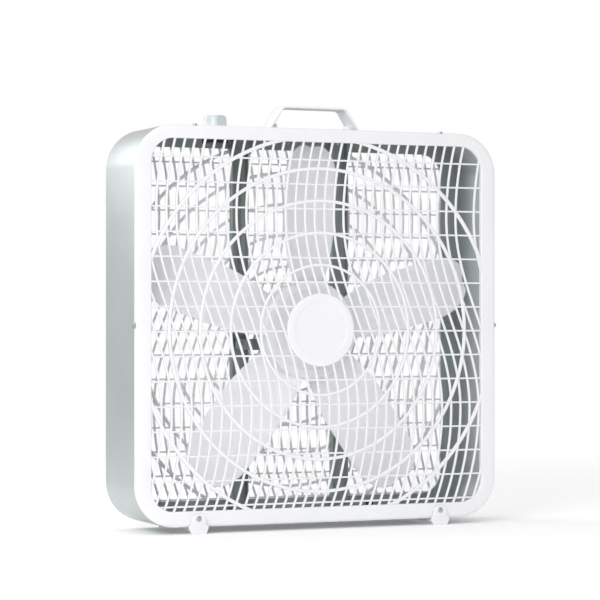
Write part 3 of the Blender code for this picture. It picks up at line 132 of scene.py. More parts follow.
# Fan
BLADE_COUNT = 5
FIRST_BLADE = math.radians(16)
BLADE_TIP = 246.6 * MM
BLADE_SHOULDER = 205 * MM
BLADE_CHORD_START = 34 * MM
BLADE_HALF_CHORD = 42 * MM
BLADE_ROOT_HALF_CHORD = 19 * MM
BLADE_TIP_HALF_CHORD = 14 * MM
BLADE_MIDDLE_Y = -10 * MM
BLADE_CAMBER = 4 * MM
BLADE_RISE = 60 * MM
BLADE_RISE_RADIUS = 37 * MM
BLADE_THICKNESS = 1.9 * MM
HUB_RADIUS = 66.6 * MM
HUB_WALL = 3 * MM
HUB_ROUND = 5 * MM
HUB_FRONT = -24 * MM
HUB_BACK = -2 * MM
HUB_BORE = 4.3 * MM
HUB_BOSS = 10 * MM
RIB_COUNT = 10
BLADE_ROOT = HUB_RADIUS - HUB_WALL * 0.6

# Motor
MOTOR_RADIUS = 44 * MM
MOTOR_WALL = 2 * MM
MOTOR_ROUND = 5 * MM
MOTOR_CUP_RADIUS = 9.3 * MM
FRONT_SHELL = (24 * MM, 12 * MM)
REAR_SHELL = (34.6 * MM, 50.3 * MM)
VENT_PLACES = 12
VENT_WIDTH = 4 * MM
VENT_SPAN = (18 * MM, 32 * MM)
EAR_SPAN = (35 * MM, 82 * MM)
EAR_DEPTH = (41 * MM, 43.7 * MM)
EAR_RISE = 20 * MM
EAR_HALF_HEIGHT = 7.5 * MM

# Screws
HEAD_RADIUS = 3.1 * MM
HEAD_HEIGHT = 1.5 * MM
SHANK_RADIUS = 1.6 * MM
SHANK_LENGTH = 4 * MM

# Knob, handle and feet
KNOB_HEADING = -63.5
KNOB_FLAT = 11.9 * MM
KNOB_ROUND = 4.1 * MM
SPEED_STEP = 45
MARK_RISE = 0.12 * MM
HANDLE_BASE_HALF = 65 * MM
HANDLE_TOP_HALF = 46 * MM
HANDLE_THICKNESS = 3 * MM
HANDLE_ROUND = 9 * MM
BOSS_X = 56.5 * MM
BOSS_HEIGHT = 6.6 * MM
FOOT_X = 174.5 * MM
FOOT_HALF_WIDTH = 10 * MM
FOOT_SHOULDER = 13.5 * MM
FOOT_SCREW_Z = 20 * MM
FOOT_TAB_Y = (59.3 * MM, 62.3 * MM)
FOOT_PAD_START = 47.3 * MM
FOOT_PAD_HALF_WIDTH = 6.8 * MM
FOOT_BAR_TOP = 8.7 * MM

# Studio: lamps as place, aim, size in metres and power in watts
FLOOR_RADIUS = 2
SURROUND_LIGHT = 0.7
SURROUND_SEEN = 1.0
KEY_SOFTBOX = ((-1.6, -1.6, 1.1), (-0.1, 0, 0.25), 1.2, 26)
REAR_SOFTBOX = ((-1.0, 1.2, 1.0), (-0.26, 0, 0.38), 0.9, 7.5)
LIGHT_FLAG = ((-1.21, -0.5, 0.001), (-1.2, 1.4, 0.52))
CAMERA_LENS = 143.55
CAMERA_PLACE = (-1.2887, -2.9499, 0.2838)
CAMERA_TURN = (90.351, 0, -23.511)

UP = Matrix.Identity(4)
TOWARDS_BACK = Matrix.Rotation(-math.pi / 2, 4, "X")
TOWARDS_FRONT = Matrix.Rotation(math.pi / 2, 4, "X")
TOWARDS_LEFT = Matrix.Rotation(-math.pi / 2, 4, "Y")
TOWARDS_RIGHT = Matrix.Rotation(math.pi / 2, 4, "Y")
DOWN = Matrix.Rotation(math.pi, 4, "X")

EDGE_SCREWS = {
    "front_screw_top_left": UP, "front_screw_top_right": UP,
    "front_screw_left": TOWARDS_LEFT, "front_screw_right": TOWARDS_RIGHT,
}
REAR_SCREWS = ["rear_screw_" + side for side in (
    "top_left", "top_right", "left", "right", "top", "bottom",
)]
SCREW_HEADINGS = {
    "handle_screw_left": DOWN, "handle_screw_right": DOWN,
    "foot_screw_front_left": TOWARDS_FRONT, "foot_screw_front_right": TOWARDS_FRONT,
    "foot_screw_rear_left": TOWARDS_BACK, "foot_screw_rear_right": TOWARDS_BACK,
} | EDGE_SCREWS | {name: TOWARDS_BACK for name in REAR_SCREWS}


# ---------------------------------------------------------------- materials


def linear(code):
    """The linear colour of an sRGB hex code."""
    shares = [int(code[i:i + 2], 16) / 255 for i in (0, 2, 4)]
    return [c / 12.92 if c <= 0.04045 else ((c + 0.055) / 1.055) ** 2.4 for c in shares] + [1.0]


def add_node(tree, kind, settings=(), inputs=(), links=()):
    """Adds a shader node with its properties, its inputs and the outputs linked into it."""
    node = tree.nodes.new(kind)
    for name, value in dict(settings).items():
        setattr(node, name, value)
    for name, value in dict(inputs).items():
        node.inputs[name].default_value = value
    for name, (source, output) in dict(links).items():
        tree.links.new(source.outputs[output], node.inputs[name])
    return node


def start_material(name, **sockets):
    """A material whose even values sit on the shader's own sockets, and its Object coordinates."""
    mat = bpy.data.materials.new(name)
    mat.use_nodes = True
    tree = mat.node_tree
    shader = tree.nodes["Principled BSDF"]
    for key, value in sockets.items():
        shader.inputs[key.replace("_", " ")].default_value = value
    place = add_node(tree, "ShaderNodeTexCoord")
    return mat, tree, shader, place


def vary_colour(tree, shader, place, size, light, dark, stretch=(1, 1, 1)):
    """A soft change of colour between two tones, over patches of a size in metres."""
    mapping = add_node(
        tree, "ShaderNodeMapping", inputs={"Scale": stretch}, links={"Vector": (place, "Object")}
    )
    noise = add_node(
        tree, "ShaderNodeTexNoise", inputs={"Scale": 1 / size, "Detail": 3.0},
        links={"Vector": (mapping, "Vector")},
    )
    ramp = add_node(tree, "ShaderNodeValToRGB", links={"Fac": (noise, "Fac")})
    for stop, position, tone in zip(ramp.color_ramp.elements, (0.35, 0.65), (dark, light)):
        stop.position = position
        stop.color = linear(tone)
    tree.links.new(ramp.outputs["Color"], shader.inputs["Base Color"])


def vary_roughness(tree, shader, place, size, low, high):
    """A soft change of gloss over patches of a size in metres."""
    noise = add_node(
        tree, "ShaderNodeTexNoise", inputs={"Scale": 1 / size, "Detail": 2.0},
        links={"Vector": (place, "Object")},
    )
    spread = add_node(
        tree, "ShaderNodeMapRange",
        inputs={"From Min": 0.3, "From Max": 0.7, "To Min": low, "To Max": high},
        links={"Value": (noise, "Fac")},
    )
    tree.links.new(spread.outputs["Result"], shader.inputs["Roughness"])


def grain(tree, shader, place, size, strength, distance):
    """A fine raised grain whose bumps are a size across, in metres."""
    noise = add_node(
        tree, "ShaderNodeTexNoise", inputs={"Scale": 1 / size, "Detail": 2.0},
        links={"Vector": (place, "Object")},
    )
    raise_by(tree, shader, noise, strength, distance)


def raise_by(tree, shader, pattern, strength, distance):
    """Raises the surface by a pattern's value, up to a distance in metres."""
    bump = add_node(
        tree, "ShaderNodeBump", inputs={"Strength": strength, "Distance": distance},
        links={"Height": (pattern, "Fac")},
    )
    tree.links.new(bump.outputs["Normal"], shader.inputs["Normal"])


# White plastic lets light in to a depth of about 3 mm
TRANSLUCENT = {
    "Subsurface_Weight": 0.35, "Subsurface_Scale": 1.0,
    "Subsurface_Radius": (3 * MM, 3 * MM, 3 * MM),
}


def moulded_abs():
    """Injection-moulded ABS from a lightly spark-eroded mould: white, half gloss, finely grained.

    Thin bars glow a little with light from behind. The grain is drawn at 0.9 mm, coarser than
    the real 0.1 mm, so that it shows.
    """
    mat, tree, shader, place = start_material("moulded_abs_white", IOR=1.53, **TRANSLUCENT)
    vary_colour(tree, shader, place, 60 * MM, "EDEDF0", "EAEAED")
    vary_roughness(tree, shader, place, 25 * MM, 0.34, 0.42)
    grain(tree, shader, place, 0.9 * MM, 0.12, 0.05 * MM)
    return mat


def moulded_polypropylene():
    """Injection-moulded polypropylene from a polished mould: white, smooth, slightly translucent."""
    mat, tree, shader, place = start_material(
        "moulded_polypropylene_white", IOR=1.49, **TRANSLUCENT
    )
    vary_colour(tree, shader, place, 80 * MM, "FCFCFD", "F9F9FB")
    vary_roughness(tree, shader, place, 40 * MM, 0.28, 0.36)
    return mat


def powder_coated_steel():
    """Powder coat on rolled steel sheet: pale grey-green, half gloss with a metallic sheen.

    The coat's orange-peel ripple is about 2 mm wide and softens what the wall reflects.
    """
    mat, tree, shader, place = start_material("powder_coated_steel_grey", Metallic=0.65)
    vary_colour(tree, shader, place, 120 * MM, "C2C8C8", "BCC2C2")
    vary_roughness(tree, shader, place, 30 * MM, 0.32, 0.42)
    grain(tree, shader, place, 2.2 * MM, 0.10, 0.06 * MM)
    return mat


def coated_strip_steel():
    """Pressed steel strip under a dark grey coat: matt, with faint rolling lines along it."""
    mat, tree, shader, place = start_material(
        "coated_strip_steel_dark", Roughness=0.5, Metallic=0.15
    )
    vary_colour(tree, shader, place, 9 * MM, "9CA6A3", "909A97", stretch=(1, 1, 0.06))
    grain(tree, shader, place, 1.6 * MM, 0.12, 0.05 * MM)
    return mat


def zinc_plate():
    """Bright zinc plate on a rolled screw, faintly mottled."""
    mat, tree, shader, place = start_material("zinc_plated_steel", Metallic=1.0)
    vary_colour(tree, shader, place, 2.5 * MM, "CED0D2", "B4B7BA")
    vary_roughness(tree, shader, place, 1.5 * MM, 0.22, 0.4)
    return mat


def pressed_motor_steel():
    """Deep-drawn, lightly oiled steel with the soft swirl that drawing leaves."""
    mat, tree, shader, place = start_material("drawn_motor_steel", Metallic=0.9)
    vary_colour(tree, shader, place, 8 * MM, "969A9C", "7E8284", stretch=(1, 4, 1))
    vary_roughness(tree, shader, place, 5 * MM, 0.34, 0.5)
    return mat


def lamination_steel():
    """A stack of 0.5 mm stampings, varnished dark: the edges of the sheets show as fine lines."""
    mat, tree, shader, place = start_material(
        "varnished_laminations", Base_Color=linear("54565A"), Roughness=0.5, Metallic=0.7
    )
    wave = add_node(
        tree, "ShaderNodeTexWave", {"wave_type": "BANDS", "bands_direction": "Y"},
        {"Scale": 0.05 / MM, "Distortion": 0.2}, {"Vector": (place, "Object")},
    )
    raise_by(tree, shader, wave, 0.5, 0.15 * MM)
    return mat


def varnished_copper():
    """Enamelled copper wire dipped in varnish: turns of about 0.6 mm wire show as ridges."""
    mat, tree, shader, place = start_material(
        "varnished_copper_wire", Roughness=0.3, Metallic=0.7, Coat_Weight=0.5
    )
    vary_colour(tree, shader, place, 4 * MM, "B4602F", "8A4422")
    wave = add_node(
        tree, "ShaderNodeTexWave", {"wave_type": "RINGS", "rings_direction": "Y"},
        {"Scale": 0.055 / MM, "Distortion": 1.0}, {"Vector": (place, "Object")},
    )
    raise_by(tree, shader, wave, 0.6, 0.2 * MM)
    return mat


def black_nylon():
    """Moulded black nylon with an even matt grain."""
    mat, tree, shader, place = start_material("moulded_nylon_black", Roughness=0.55)
    vary_colour(tree, shader, place, 12 * MM, "212223", "18191A")
    grain(tree, shader, place, 0.6 * MM, 0.2, 0.05 * MM)
    return mat


def woven_sleeve():
    """Varnished glass-fibre sleeving, slate grey: a fine braid of about 0.8 mm that dulls its sheen."""
    mat, tree, shader, place = start_material("varnished_glass_sleeve_grey", Roughness=0.5)
    vary_colour(tree, shader, place, 6 * MM, "707775", "646B69")
    grain(tree, shader, place, 0.8 * MM, 0.4, 0.1 * MM)
    return mat


def lacquered_can():
    """Capacitor can: impact-extruded aluminium under a slate-grey lacquer, half matt."""
    mat, tree, shader, place = start_material(
        "lacquered_can_grey", Roughness=0.42, Metallic=0.3
    )
    vary_colour(tree, shader, place, 14 * MM, "7F8785", "747C7A")
    grain(tree, shader, place, 1.5 * MM, 0.08, 0.05 * MM)
    return mat


def sintered_bronze():
    """Oil-filled bronze pressed from powder: dull gold with small dark pores."""
    mat, tree, shader, place = start_material("sintered_bronze", Roughness=0.45, Metallic=0.95)
    vary_colour(tree, shader, place, 0.8 * MM, "A5854F", "7C6239")
    return mat


def knob_resin():
    """Glossy moulded resin, a pale grey-blue, with the soft edge of a polished mould."""
    mat, tree, shader, place = start_material(
        "polished_resin_blue_grey", Roughness=0.22, IOR=1.5
    )
    vary_colour(tree, shader, place, 20 * MM, "D6DEE1", "CED7DA")
    grain(tree, shader, place, 1.2 * MM, 0.05, 0.04 * MM)
    return mat


def floor_paper():
    """Background paper lit a little from below: flat white, with a barely visible tooth.

    It fades out far from the fan, as a paper sweep does.
    """
    mat, tree, shader, place = start_material(
        "background_paper", Base_Color=linear("FBFBFB"), Roughness=0.9, Emission_Strength=0.10
    )
    grain(tree, shader, place, 3 * MM, 0.05, 0.1 * MM)
    distance = add_node(
        tree, "ShaderNodeVectorMath", {"operation": "LENGTH"}, links={"Vector": (place, "Object")}
    )
    fade = add_node(
        tree, "ShaderNodeMapRange", {"interpolation_type": "SMOOTHSTEP"},
        {"From Min": 0.6, "From Max": 1.9}, {"Value": (distance, "Value")},
    )
    clear = add_node(tree, "ShaderNodeBsdfTransparent")
    mix = add_node(tree, "ShaderNodeMixShader", links={"Fac": (fade, "Result")})
    tree.links.new(shader.outputs["BSDF"], mix.inputs[1])
    tree.links.new(clear.outputs["BSDF"], mix.inputs[2])
    tree.links.new(mix.outputs["Shader"], tree.nodes["Material Output"].inputs["Surface"])
    return mat


MATERIALS = {
    "white_plastic": moulded_abs(),
    "blade_plastic": moulded_polypropylene(),
    "painted_steel": powder_coated_steel(),
    "strut_steel": coated_strip_steel(),
    "zinc_steel": zinc_plate(),
    "motor_steel": pressed_motor_steel(),
    "lamination": lamination_steel(),
    "copper_winding": varnished_copper(),
    "black_plastic": black_nylon(),
    "sintered_bronze": sintered_bronze(),
    "knob_plastic": knob_resin(),
    "sleeve": woven_sleeve(),
    "can": lacquered_can(),
}
OWN_FINISH = {
    "stator_core": "lamination", "rotor_core": "lamination", "run_capacitor": "can",
    "switch_lead": "sleeve", "motor_lead": "sleeve",
}


# ---------------------------------------------------------------- shaping


def add_piece(name, bm, slot, body="frame", replaces=(), material=None, angle=32):
    """Makes an object from a bmesh that is in its final place, and hangs it on its body."""
    bmesh.ops.remove_doubles(bm, verts=bm.verts, dist=MERGE_DISTANCE)
    bmesh.ops.recalc_face_normals(bm, faces=bm.faces)
    mesh = bpy.data.meshes.new(name)
    bm.to_mesh(mesh)
    bm.free()
    mesh.shade_smooth()
    mesh.set_sharp_from_angle(angle=math.radians(angle))
    mesh.materials.append(material or MATERIALS[slot])
    piece = bpy.data.objects.new(name, mesh)
    bpy.context.scene.collection.objects.link(piece)
    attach(piece, body)
    if replaces:
        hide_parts(*replaces)
    return piece


def add_outline(bm, left, right, low, high, radius, y):
    """Adds the edges of an upright rectangle with rounded corners, and returns them."""
    old_edges = set(bm.edges)
    old_faces = set(bm.faces)
    size = Matrix.Diagonal((right - left, high - low, 1, 1))
    place = Matrix.Translation(((left + right) / 2, y, (low + high) / 2)) @ TOWARDS_FRONT @ size
    corners = bmesh.ops.create_grid(bm, x_segments=1, y_segments=1, size=0.5, matrix=place)["verts"]
    bmesh.ops.bevel(
        bm, geom=corners, offset=radius, offset_type="OFFSET", segments=CORNER_STEPS, profile=0.5,
        affect="VERTICES", material=-1,
    )
    faces = [f for f in bm.faces if f not in old_faces]
    bmesh.ops.delete(bm, geom=faces, context="FACES_ONLY")
    return [e for e in bm.edges if e not in old_edges]


def shell_line(inset, y):
    """An outline a distance inside the fan's own."""
    return (-HALF + inset, HALF - inset, BOTTOM + inset, TOP - inset, CORNER_RADIUS - inset, y)


def opening_line(opening, grow, y):
    """An outline round a grille's opening, grown outwards."""
    left, right, low, high, radius = opening
    return (left - grow, right + grow, low - grow, high + grow, radius + grow, y)


def skin(lines):
    """Walls from each outline to the next, and from the last back to the first."""
    bm = bmesh.new()
    for first, second in zip(lines, lines[1:] + lines[:1]):
        bmesh.ops.bridge_loops(bm, edges=add_outline(bm, *first) + add_outline(bm, *second))
    return bm


def arc(cx, cy, radius, start, end, steps):
    """Points on an arc, with angles in degrees."""
    points = []
    for i in range(steps + 1):
        angle = math.radians(start + (end - start) * i / steps)
        points.append((cx + radius * math.cos(angle), cy + radius * math.sin(angle)))
    return points


def turned(profile, place, steps=64, closed=False):
    """Spins a profile of (radius, along) round an axis into a bmesh; closed makes a ring of it."""
    bm = bmesh.new()
    points = [bm.verts.new((radius, 0, along)) for radius, along in profile]
    pairs = list(zip(points, points[1:]))
    if closed:
        pairs.append((points[-1], points[0]))
    edges = [bm.edges.new(pair) for pair in pairs]
    bmesh.ops.spin(
        bm, geom=points + edges, cent=(0, 0, 0), axis=(0, 0, 1), dvec=(0, 0, 0),
        angle=2 * math.pi, space=Matrix.Identity(4), steps=steps, use_merge=True,
        use_normal_flip=False, use_duplicate=False,
    )
    bmesh.ops.remove_doubles(bm, verts=bm.verts, dist=MERGE_DISTANCE)
    bmesh.ops.transform(bm, matrix=place, verts=bm.verts)
    return bm


def add_box(bm, low, high):
    """Adds a box between two corners."""
    size = Vector(high) - Vector(low)
    place = Matrix.Translation((Vector(high) + Vector(low)) / 2) @ Matrix.Diagonal((*size, 1.0))
    return bmesh.ops.create_cube(bm, size=1.0, matrix=place)["verts"]


def round_edges(bm, offset, segments=3, sharper_than=50):
    """Rounds every edge whose faces meet at more than an angle."""
    limit = math.radians(sharper_than)
    edges = [e for e in bm.edges if len(e.link_faces) == 2 and e.calc_face_angle() > limit]
    bmesh.ops.bevel(
        bm, geom=edges, offset=offset, offset_type="OFFSET", segments=segments, profile=0.5,
        affect="EDGES", material=-1,
    )


def push(outline, start, end):
    """A bmesh of an outline of (x, z) pushed from one depth to another."""
    bm = bmesh.new()
    face = bm.faces.new([bm.verts.new((x, start, z)) for x, z in outline])
    pushed = bmesh.ops.extrude_face_region(bm, geom=[face])["geom"]
    moved = [v for v in pushed if isinstance(v, bmesh.types.BMVert)]
    bmesh.ops.translate(bm, verts=moved, vec=(0, end - start, 0))
    bmesh.ops.recalc_face_normals(bm, faces=bm.faces)
    return bm


def slice_off(bm, point, normal):
    """Cuts away what lies beyond a plane and closes the cut."""
    cut = bmesh.ops.bisect_plane(
        bm, geom=bm.verts[:] + bm.edges[:] + bm.faces[:], dist=0.001 * MM, plane_co=point,
        plane_no=normal, clear_outer=True, clear_inner=False,
    )
    edges = [e for e in cut["geom_cut"] if isinstance(e, bmesh.types.BMEdge)]
    bmesh.ops.edgenet_fill(bm, edges=edges)


def around_axis(share):
    """The fan's axis, turned by a share of a full turn."""
    return Matrix.Translation((0, 0, AXIS_Z)) @ Matrix.Rotation(2 * math.pi * share, 4, "Y")


def merge_in(bm, other):
    """Adds another bmesh's shape to this one."""
    mesh = bpy.data.meshes.new("merged")
    other.to_mesh(mesh)
    other.free()
    bm.from_mesh(mesh)
    bpy.data.meshes.remove(mesh)


# ---------------------------------------------------------------- shell


def make_housing():
    """Rolled and powder-coated steel band: folded-in rear hem, rear flange and four round tabs.

    The flange's inner face takes the struts' dark steel as painted shade, standing for the shade inside
    the housing behind the rear rim.
    """
    flange_back = FLANGE_Y + SHEET
    lines = [shell_line(0, SEAM_Y + GAP)]
    lines += [shell_line(*point) for point in arc(HEM / 2, REAR_Y - HEM / 2, HEM / 2, 180, 0, 8)]
    lines += [shell_line(HEM, flange_back + 0.4 * MM), shell_line(HEM + 0.4 * MM, flange_back)]
    lines += [opening_line(REAR_OPENING, GAP, y) for y in (flange_back, FLANGE_Y)]
    lines += [shell_line(SHEET, FLANGE_Y), shell_line(SHEET, SEAM_Y + GAP)]
    shell = add_piece("housing_shell", skin(lines), "painted_steel", replaces=["housing"])
    # Painted shade: the flange's inner face gets the dark strut steel to stand for the shade inside the
    # housing.
    shell.data.materials.append(MATERIALS["strut_steel"])
    for face in shell.data.polygons:
        corners = [shell.data.vertices[i].co for i in face.vertices]
        if all(abs(co.y - FLANGE_Y) < 0.01 * MM for co in corners):
            face.material_index = 1
    tabs = bmesh.new()
    for name, place in EDGE_SCREWS.items():
        tab = turned([
            (0, -SHEET), (TAB_RADIUS, -SHEET), (TAB_RADIUS, -0.1 * MM),
            (TAB_RADIUS - 0.2 * MM, 0), (0, 0),
        ], Matrix.Translation(head_seat(name, place)) @ place, 24)
        merge_in(tabs, tab)
    add_piece("housing_tabs", tabs, "painted_steel")


def head_seat(name, place):
    """The point on a screw's axis that is level with the shell's outer face."""
    low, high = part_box(name)
    middle = (low + high) / 2
    out = place.to_3x3() @ Vector((0, 0, 1))
    if abs(out.x) > 0.5:
        middle.x = math.copysign(HALF, out.x)
    if abs(out.z) > 0.5:
        middle.z = TOP
    return middle


def make_front_rim():
    """Moulded rim: a generous outer round, a flat face and a small round into the opening."""
    lines = [shell_line(0, SEAM_Y)]
    lines += [
        shell_line(*point) for point in arc(RIM_ROUND, FRONT_Y + RIM_ROUND, RIM_ROUND, 180, 270, 9)
    ]
    lines += [
        opening_line(FRONT_OPENING, *point)
        for point in arc(RIM_LIP_ROUND, FRONT_Y + RIM_LIP_ROUND, RIM_LIP_ROUND, 270, 180, 5)
    ]
    lines += [opening_line(FRONT_OPENING, grow, RIM_LIP_BACK) for grow in (0, RIM_WALL)]
    lines += [opening_line(FRONT_OPENING, RIM_WALL, RIM_PLATE_BACK)]
    lines += [
        shell_line(5.6 * MM, RIM_PLATE_BACK), shell_line(RIM_SKIRT_INNER, RIM_PLATE_BACK + 2 * MM),
        shell_line(RIM_SKIRT_INNER, RIM_SKIRT_BACK), shell_line(RIM_SKIRT_OUTER, RIM_SKIRT_BACK),
        shell_line(RIM_SKIRT_OUTER, SEAM_Y),
    ]
    piece = add_piece("front_rim", skin(lines), "white_plastic", replaces=["front_grille"])
    cut_notches(piece)


def cut_notches(piece):
    """U-shaped notches, open at the seam, round each edge screw's head."""
    rounds = bmesh.new()
    mouths = bmesh.new()
    for name, place in EDGE_SCREWS.items():
        seat = head_seat(name, place)
        merge_in(rounds, turned([
            (0, -NOTCH_DEPTH), (NOTCH_RADIUS, -NOTCH_DEPTH),
            (NOTCH_RADIUS, CUT_MARGIN), (0, CUT_MARGIN),
        ], Matrix.Translation(seat) @ place, 32))
        out = place.to_3x3() @ Vector((0, 0, 1))
        across = out.cross(Vector((0, 1, 0))) * (NOTCH_RADIUS - 0.02 * MM)
        start = seat - out * NOTCH_DEPTH - across
        end = seat + out * CUT_MARGIN + across + Vector((0, NOTCH_REACH, 0))
        low = [min(a, b) for a, b in zip(start, end)]
        high = [max(a, b) for a, b in zip(start, end)]
        add_box(mouths, low, high)
    cut_away(piece, [rounds, mouths])


def cut_away(piece, cutters):
    """Takes each cutter's shape out of a piece for good."""
    for cutter in cutters:
        bmesh.ops.recalc_face_normals(cutter, faces=cutter.faces)
        mesh = bpy.data.meshes.new("cutter")
        cutter.to_mesh(mesh)
        cutter.free()
        tool = bpy.data.objects.new("cutter", mesh)
        bpy.context.scene.collection.objects.link(tool)
        modifier = piece.modifiers.new("cut", "BOOLEAN")
        modifier.operation = "DIFFERENCE"
        modifier.solver = "EXACT"
        modifier.object = tool
        depsgraph = bpy.context.evaluated_depsgraph_get()
        result = bpy.data.meshes.new_from_object(piece.evaluated_get(depsgraph))
        piece.modifiers.remove(modifier)
        old = piece.data
        piece.data = result
        result.name = old.name
        bpy.data.meshes.remove(old)
        bpy.data.objects.remove(tool)
        bpy.data.meshes.remove(mesh)
    piece.data.set_sharp_from_angle(angle=math.radians(32))


def make_rear_rim():
    """Moulded rear rim: a flat plate set into the hem, with countersunk screw places."""
    bend = REAR_RIM_BACK - REAR_RIM_ROUND
    outer = arc(REAR_RIM_INSET + REAR_RIM_ROUND, bend, REAR_RIM_ROUND, 180, 90, 4)
    inner = arc(REAR_RIM_ROUND, bend, REAR_RIM_ROUND, 90, 180, 4)
    lines = [shell_line(REAR_RIM_INSET, REAR_RIM_FRONT)]
    lines += [shell_line(*point) for point in outer]
    lines += [opening_line(REAR_OPENING, *point) for point in inner]
    lines += [opening_line(REAR_OPENING, 0, REAR_RIM_FRONT)]
    piece = add_piece("rear_rim", skin(lines), "white_plastic", replaces=["rear_grille"])
    sinks = bmesh.new()
    for name in REAR_SCREWS:
        low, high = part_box(name)
        middle = (low + high) / 2
        merge_in(sinks, turned(
            [(0, SINK_FLOOR), (3.6 * MM, SINK_FLOOR), (3.9 * MM, SINK_TOP), (0, SINK_TOP)],
            Matrix.Translation((middle.x, 0, middle.z)) @ TOWARDS_BACK, 24,
        ))
    cut_away(piece, [sinks])


# ---------------------------------------------------------------- lattice


def wave_shift(z):
    """How far an upright bar has swung sideways: a sine between its turns, arcs beyond them."""
    height = z - WAVE_MIDDLE
    quarter = WAVE_HALF_LENGTH / 2
    if abs(height) <= quarter:
        return -WAVE_SWING * math.sin(math.pi * height / WAVE_HALF_LENGTH)
    past = abs(height) - quarter
    radius = WAVE_TOP_RADIUS if height > 0 else WAVE_BOTTOM_RADIUS
    return -math.copysign(WAVE_SWING - past * past / (2 * radius), height)


def inside(opening, x, z, grow):
    """Whether a point lies in an opening grown outwards."""
    left, right, low, high, radius = opening
    cx = min(max(x, left + radius), right - radius)
    cz = min(max(z, low + radius), high - radius)
    return math.hypot(x - cx, z - cz) <= radius + grow


def runs_inside(opening, path, start, end, step=2 * MM):
    """The stretches of a path (a function of height) that lie in the opening."""
    runs = []
    begun = None
    count = round((end - start) / step)
    for i in range(count + 1):
        z = start + (end - start) * i / count
        held = inside(opening, path(z), z, BAR_BITE)
        if held and begun is None:
            begun = z
        if begun is not None and (not held or i == count):
            if z - begun > SHORTEST_BAR:
                runs.append((begun, z))
            begun = None
    return runs


def bar_template(width, depth, cuts):
    """A unit-high upright bar with rounded long edges, cut across so that it can bend."""
    bm = bmesh.new()
    add_box(bm, (-width / 2, -depth / 2, 0), (width / 2, depth / 2, 1))
    upright = [e for e in bm.edges if abs(e.verts[0].co.z - e.verts[1].co.z) > 0.5]
    bmesh.ops.bevel(
        bm, geom=upright, offset=min(width, depth) * 0.32, offset_type="OFFSET", segments=3,
        profile=0.5, affect="EDGES", material=-1,
    )
    upright = [e for e in bm.edges if abs(e.verts[0].co.z - e.verts[1].co.z) > 0.5]
    if cuts:
        bmesh.ops.subdivide_edges(bm, edges=upright, cuts=cuts, use_grid_fill=True)
    mesh = bpy.data.meshes.new("bar_template")
    bm.to_mesh(mesh)
    bm.free()
    return mesh


def place_bar(bm, template, shape):
    """Adds a copy of a bar, with every point moved by a function."""
    first = len(bm.verts)
    bm.from_mesh(template)
    bm.verts.ensure_lookup_table()
    for vert in bm.verts[first:]:
        vert.co = shape(vert.co)


def make_lattice(prefix, opening, face_y, towards, mirror):
    """Upright waves, cross bars and rings of one grille; towards is 1 or -1, into the fan."""
    bar_y = face_y + towards * BAR_BACKSET
    waves = bmesh.new()
    template = bar_template(WAVE_WIDTH, WAVE_DEPTH, WAVE_CUTS)
    low, high = opening[2:4]
    for index in range(-WAVE_REACH - 1, WAVE_REACH + 2):
        if index == MISSING_WAVE:
            continue
        middle = WAVE_OFFSET + index * WAVE_PITCH

        def path(z):
            return mirror * (middle + wave_shift(z))

        for start, end in runs_inside(opening, path, low - BAR_BITE, high + BAR_BITE):

            def shape(co):
                z = start + co.z * (end - start)
                ahead = (path(z + MM) - path(z - MM)) / (2 * MM)
                widen = math.sqrt(1 + ahead * ahead)
                return Vector((path(z) + co.x * widen, bar_y + co.y, z))

            place_bar(waves, template, shape)
    bpy.data.meshes.remove(template)
    add_piece(prefix + "_waves", waves, "white_plastic")

    bars = bmesh.new()
    template = bar_template(CROSS_BAR_WIDTH, CROSS_BAR_DEPTH, 0)
    for index in range(CROSS_BAR_COUNT):
        z = CROSS_BAR_MIDDLE + (index - (CROSS_BAR_COUNT - 1) / 2) * CROSS_BAR_PITCH
        reach = crossing(opening, z)

        def lay(co):
            return Vector(((co.z * 2 - 1) * reach, bar_y + co.y, z + co.x))

        place_bar(bars, template, lay)
    bpy.data.meshes.remove(template)
    add_piece(prefix + "_cross_bars", bars, "white_plastic")

    rings = bmesh.new()
    ring_start = face_y + towards * RING_BACKSET
    back, front = sorted((ring_start, ring_start + towards * RING_DEPTH), reverse=True)
    for radius, width in RINGS:
        middle = radius * MM
        side = width * MM / 2 - RING_ROUND
        profile = []
        for across, along, start in (
            (side, back - RING_ROUND, 0), (-side, back - RING_ROUND, 90),
            (-side, front + RING_ROUND, 180), (side, front + RING_ROUND, 270),
        ):
            profile += arc(middle + across, along, RING_ROUND, start, start + 90, 3)
        place = Matrix.Translation((0, 0, AXIS_Z)) @ TOWARDS_BACK
        ring = turned(profile, place, RING_STEPS, closed=True)
        if middle > WIDE_RING:
            trim_ring(ring, opening)
        merge_in(rings, ring)
    add_piece(prefix + "_rings", rings, "white_plastic")
    make_disc(prefix, face_y, towards)


def crossing(opening, z):
    """Half the width of an opening at a height, with the bite that ends a bar in the rim."""
    left, right, low, high, radius = opening
    cz = min(max(z, low + radius), high - radius)
    reach = radius + BAR_BITE
    return right - radius + math.sqrt(max(0.0, reach * reach - (z - cz) ** 2))


def trim_ring(bm, opening):
    """Cuts the widest ring back to the opening's four sides."""
    left, right, low, high, _ = opening
    slice_off(bm, (right + BAR_BITE, 0, 0), (1, 0, 0))
    slice_off(bm, (left - BAR_BITE, 0, 0), (-1, 0, 0))
    slice_off(bm, (0, 0, high + BAR_BITE), (0, 0, 1))
    slice_off(bm, (0, 0, low - BAR_BITE), (0, 0, -1))


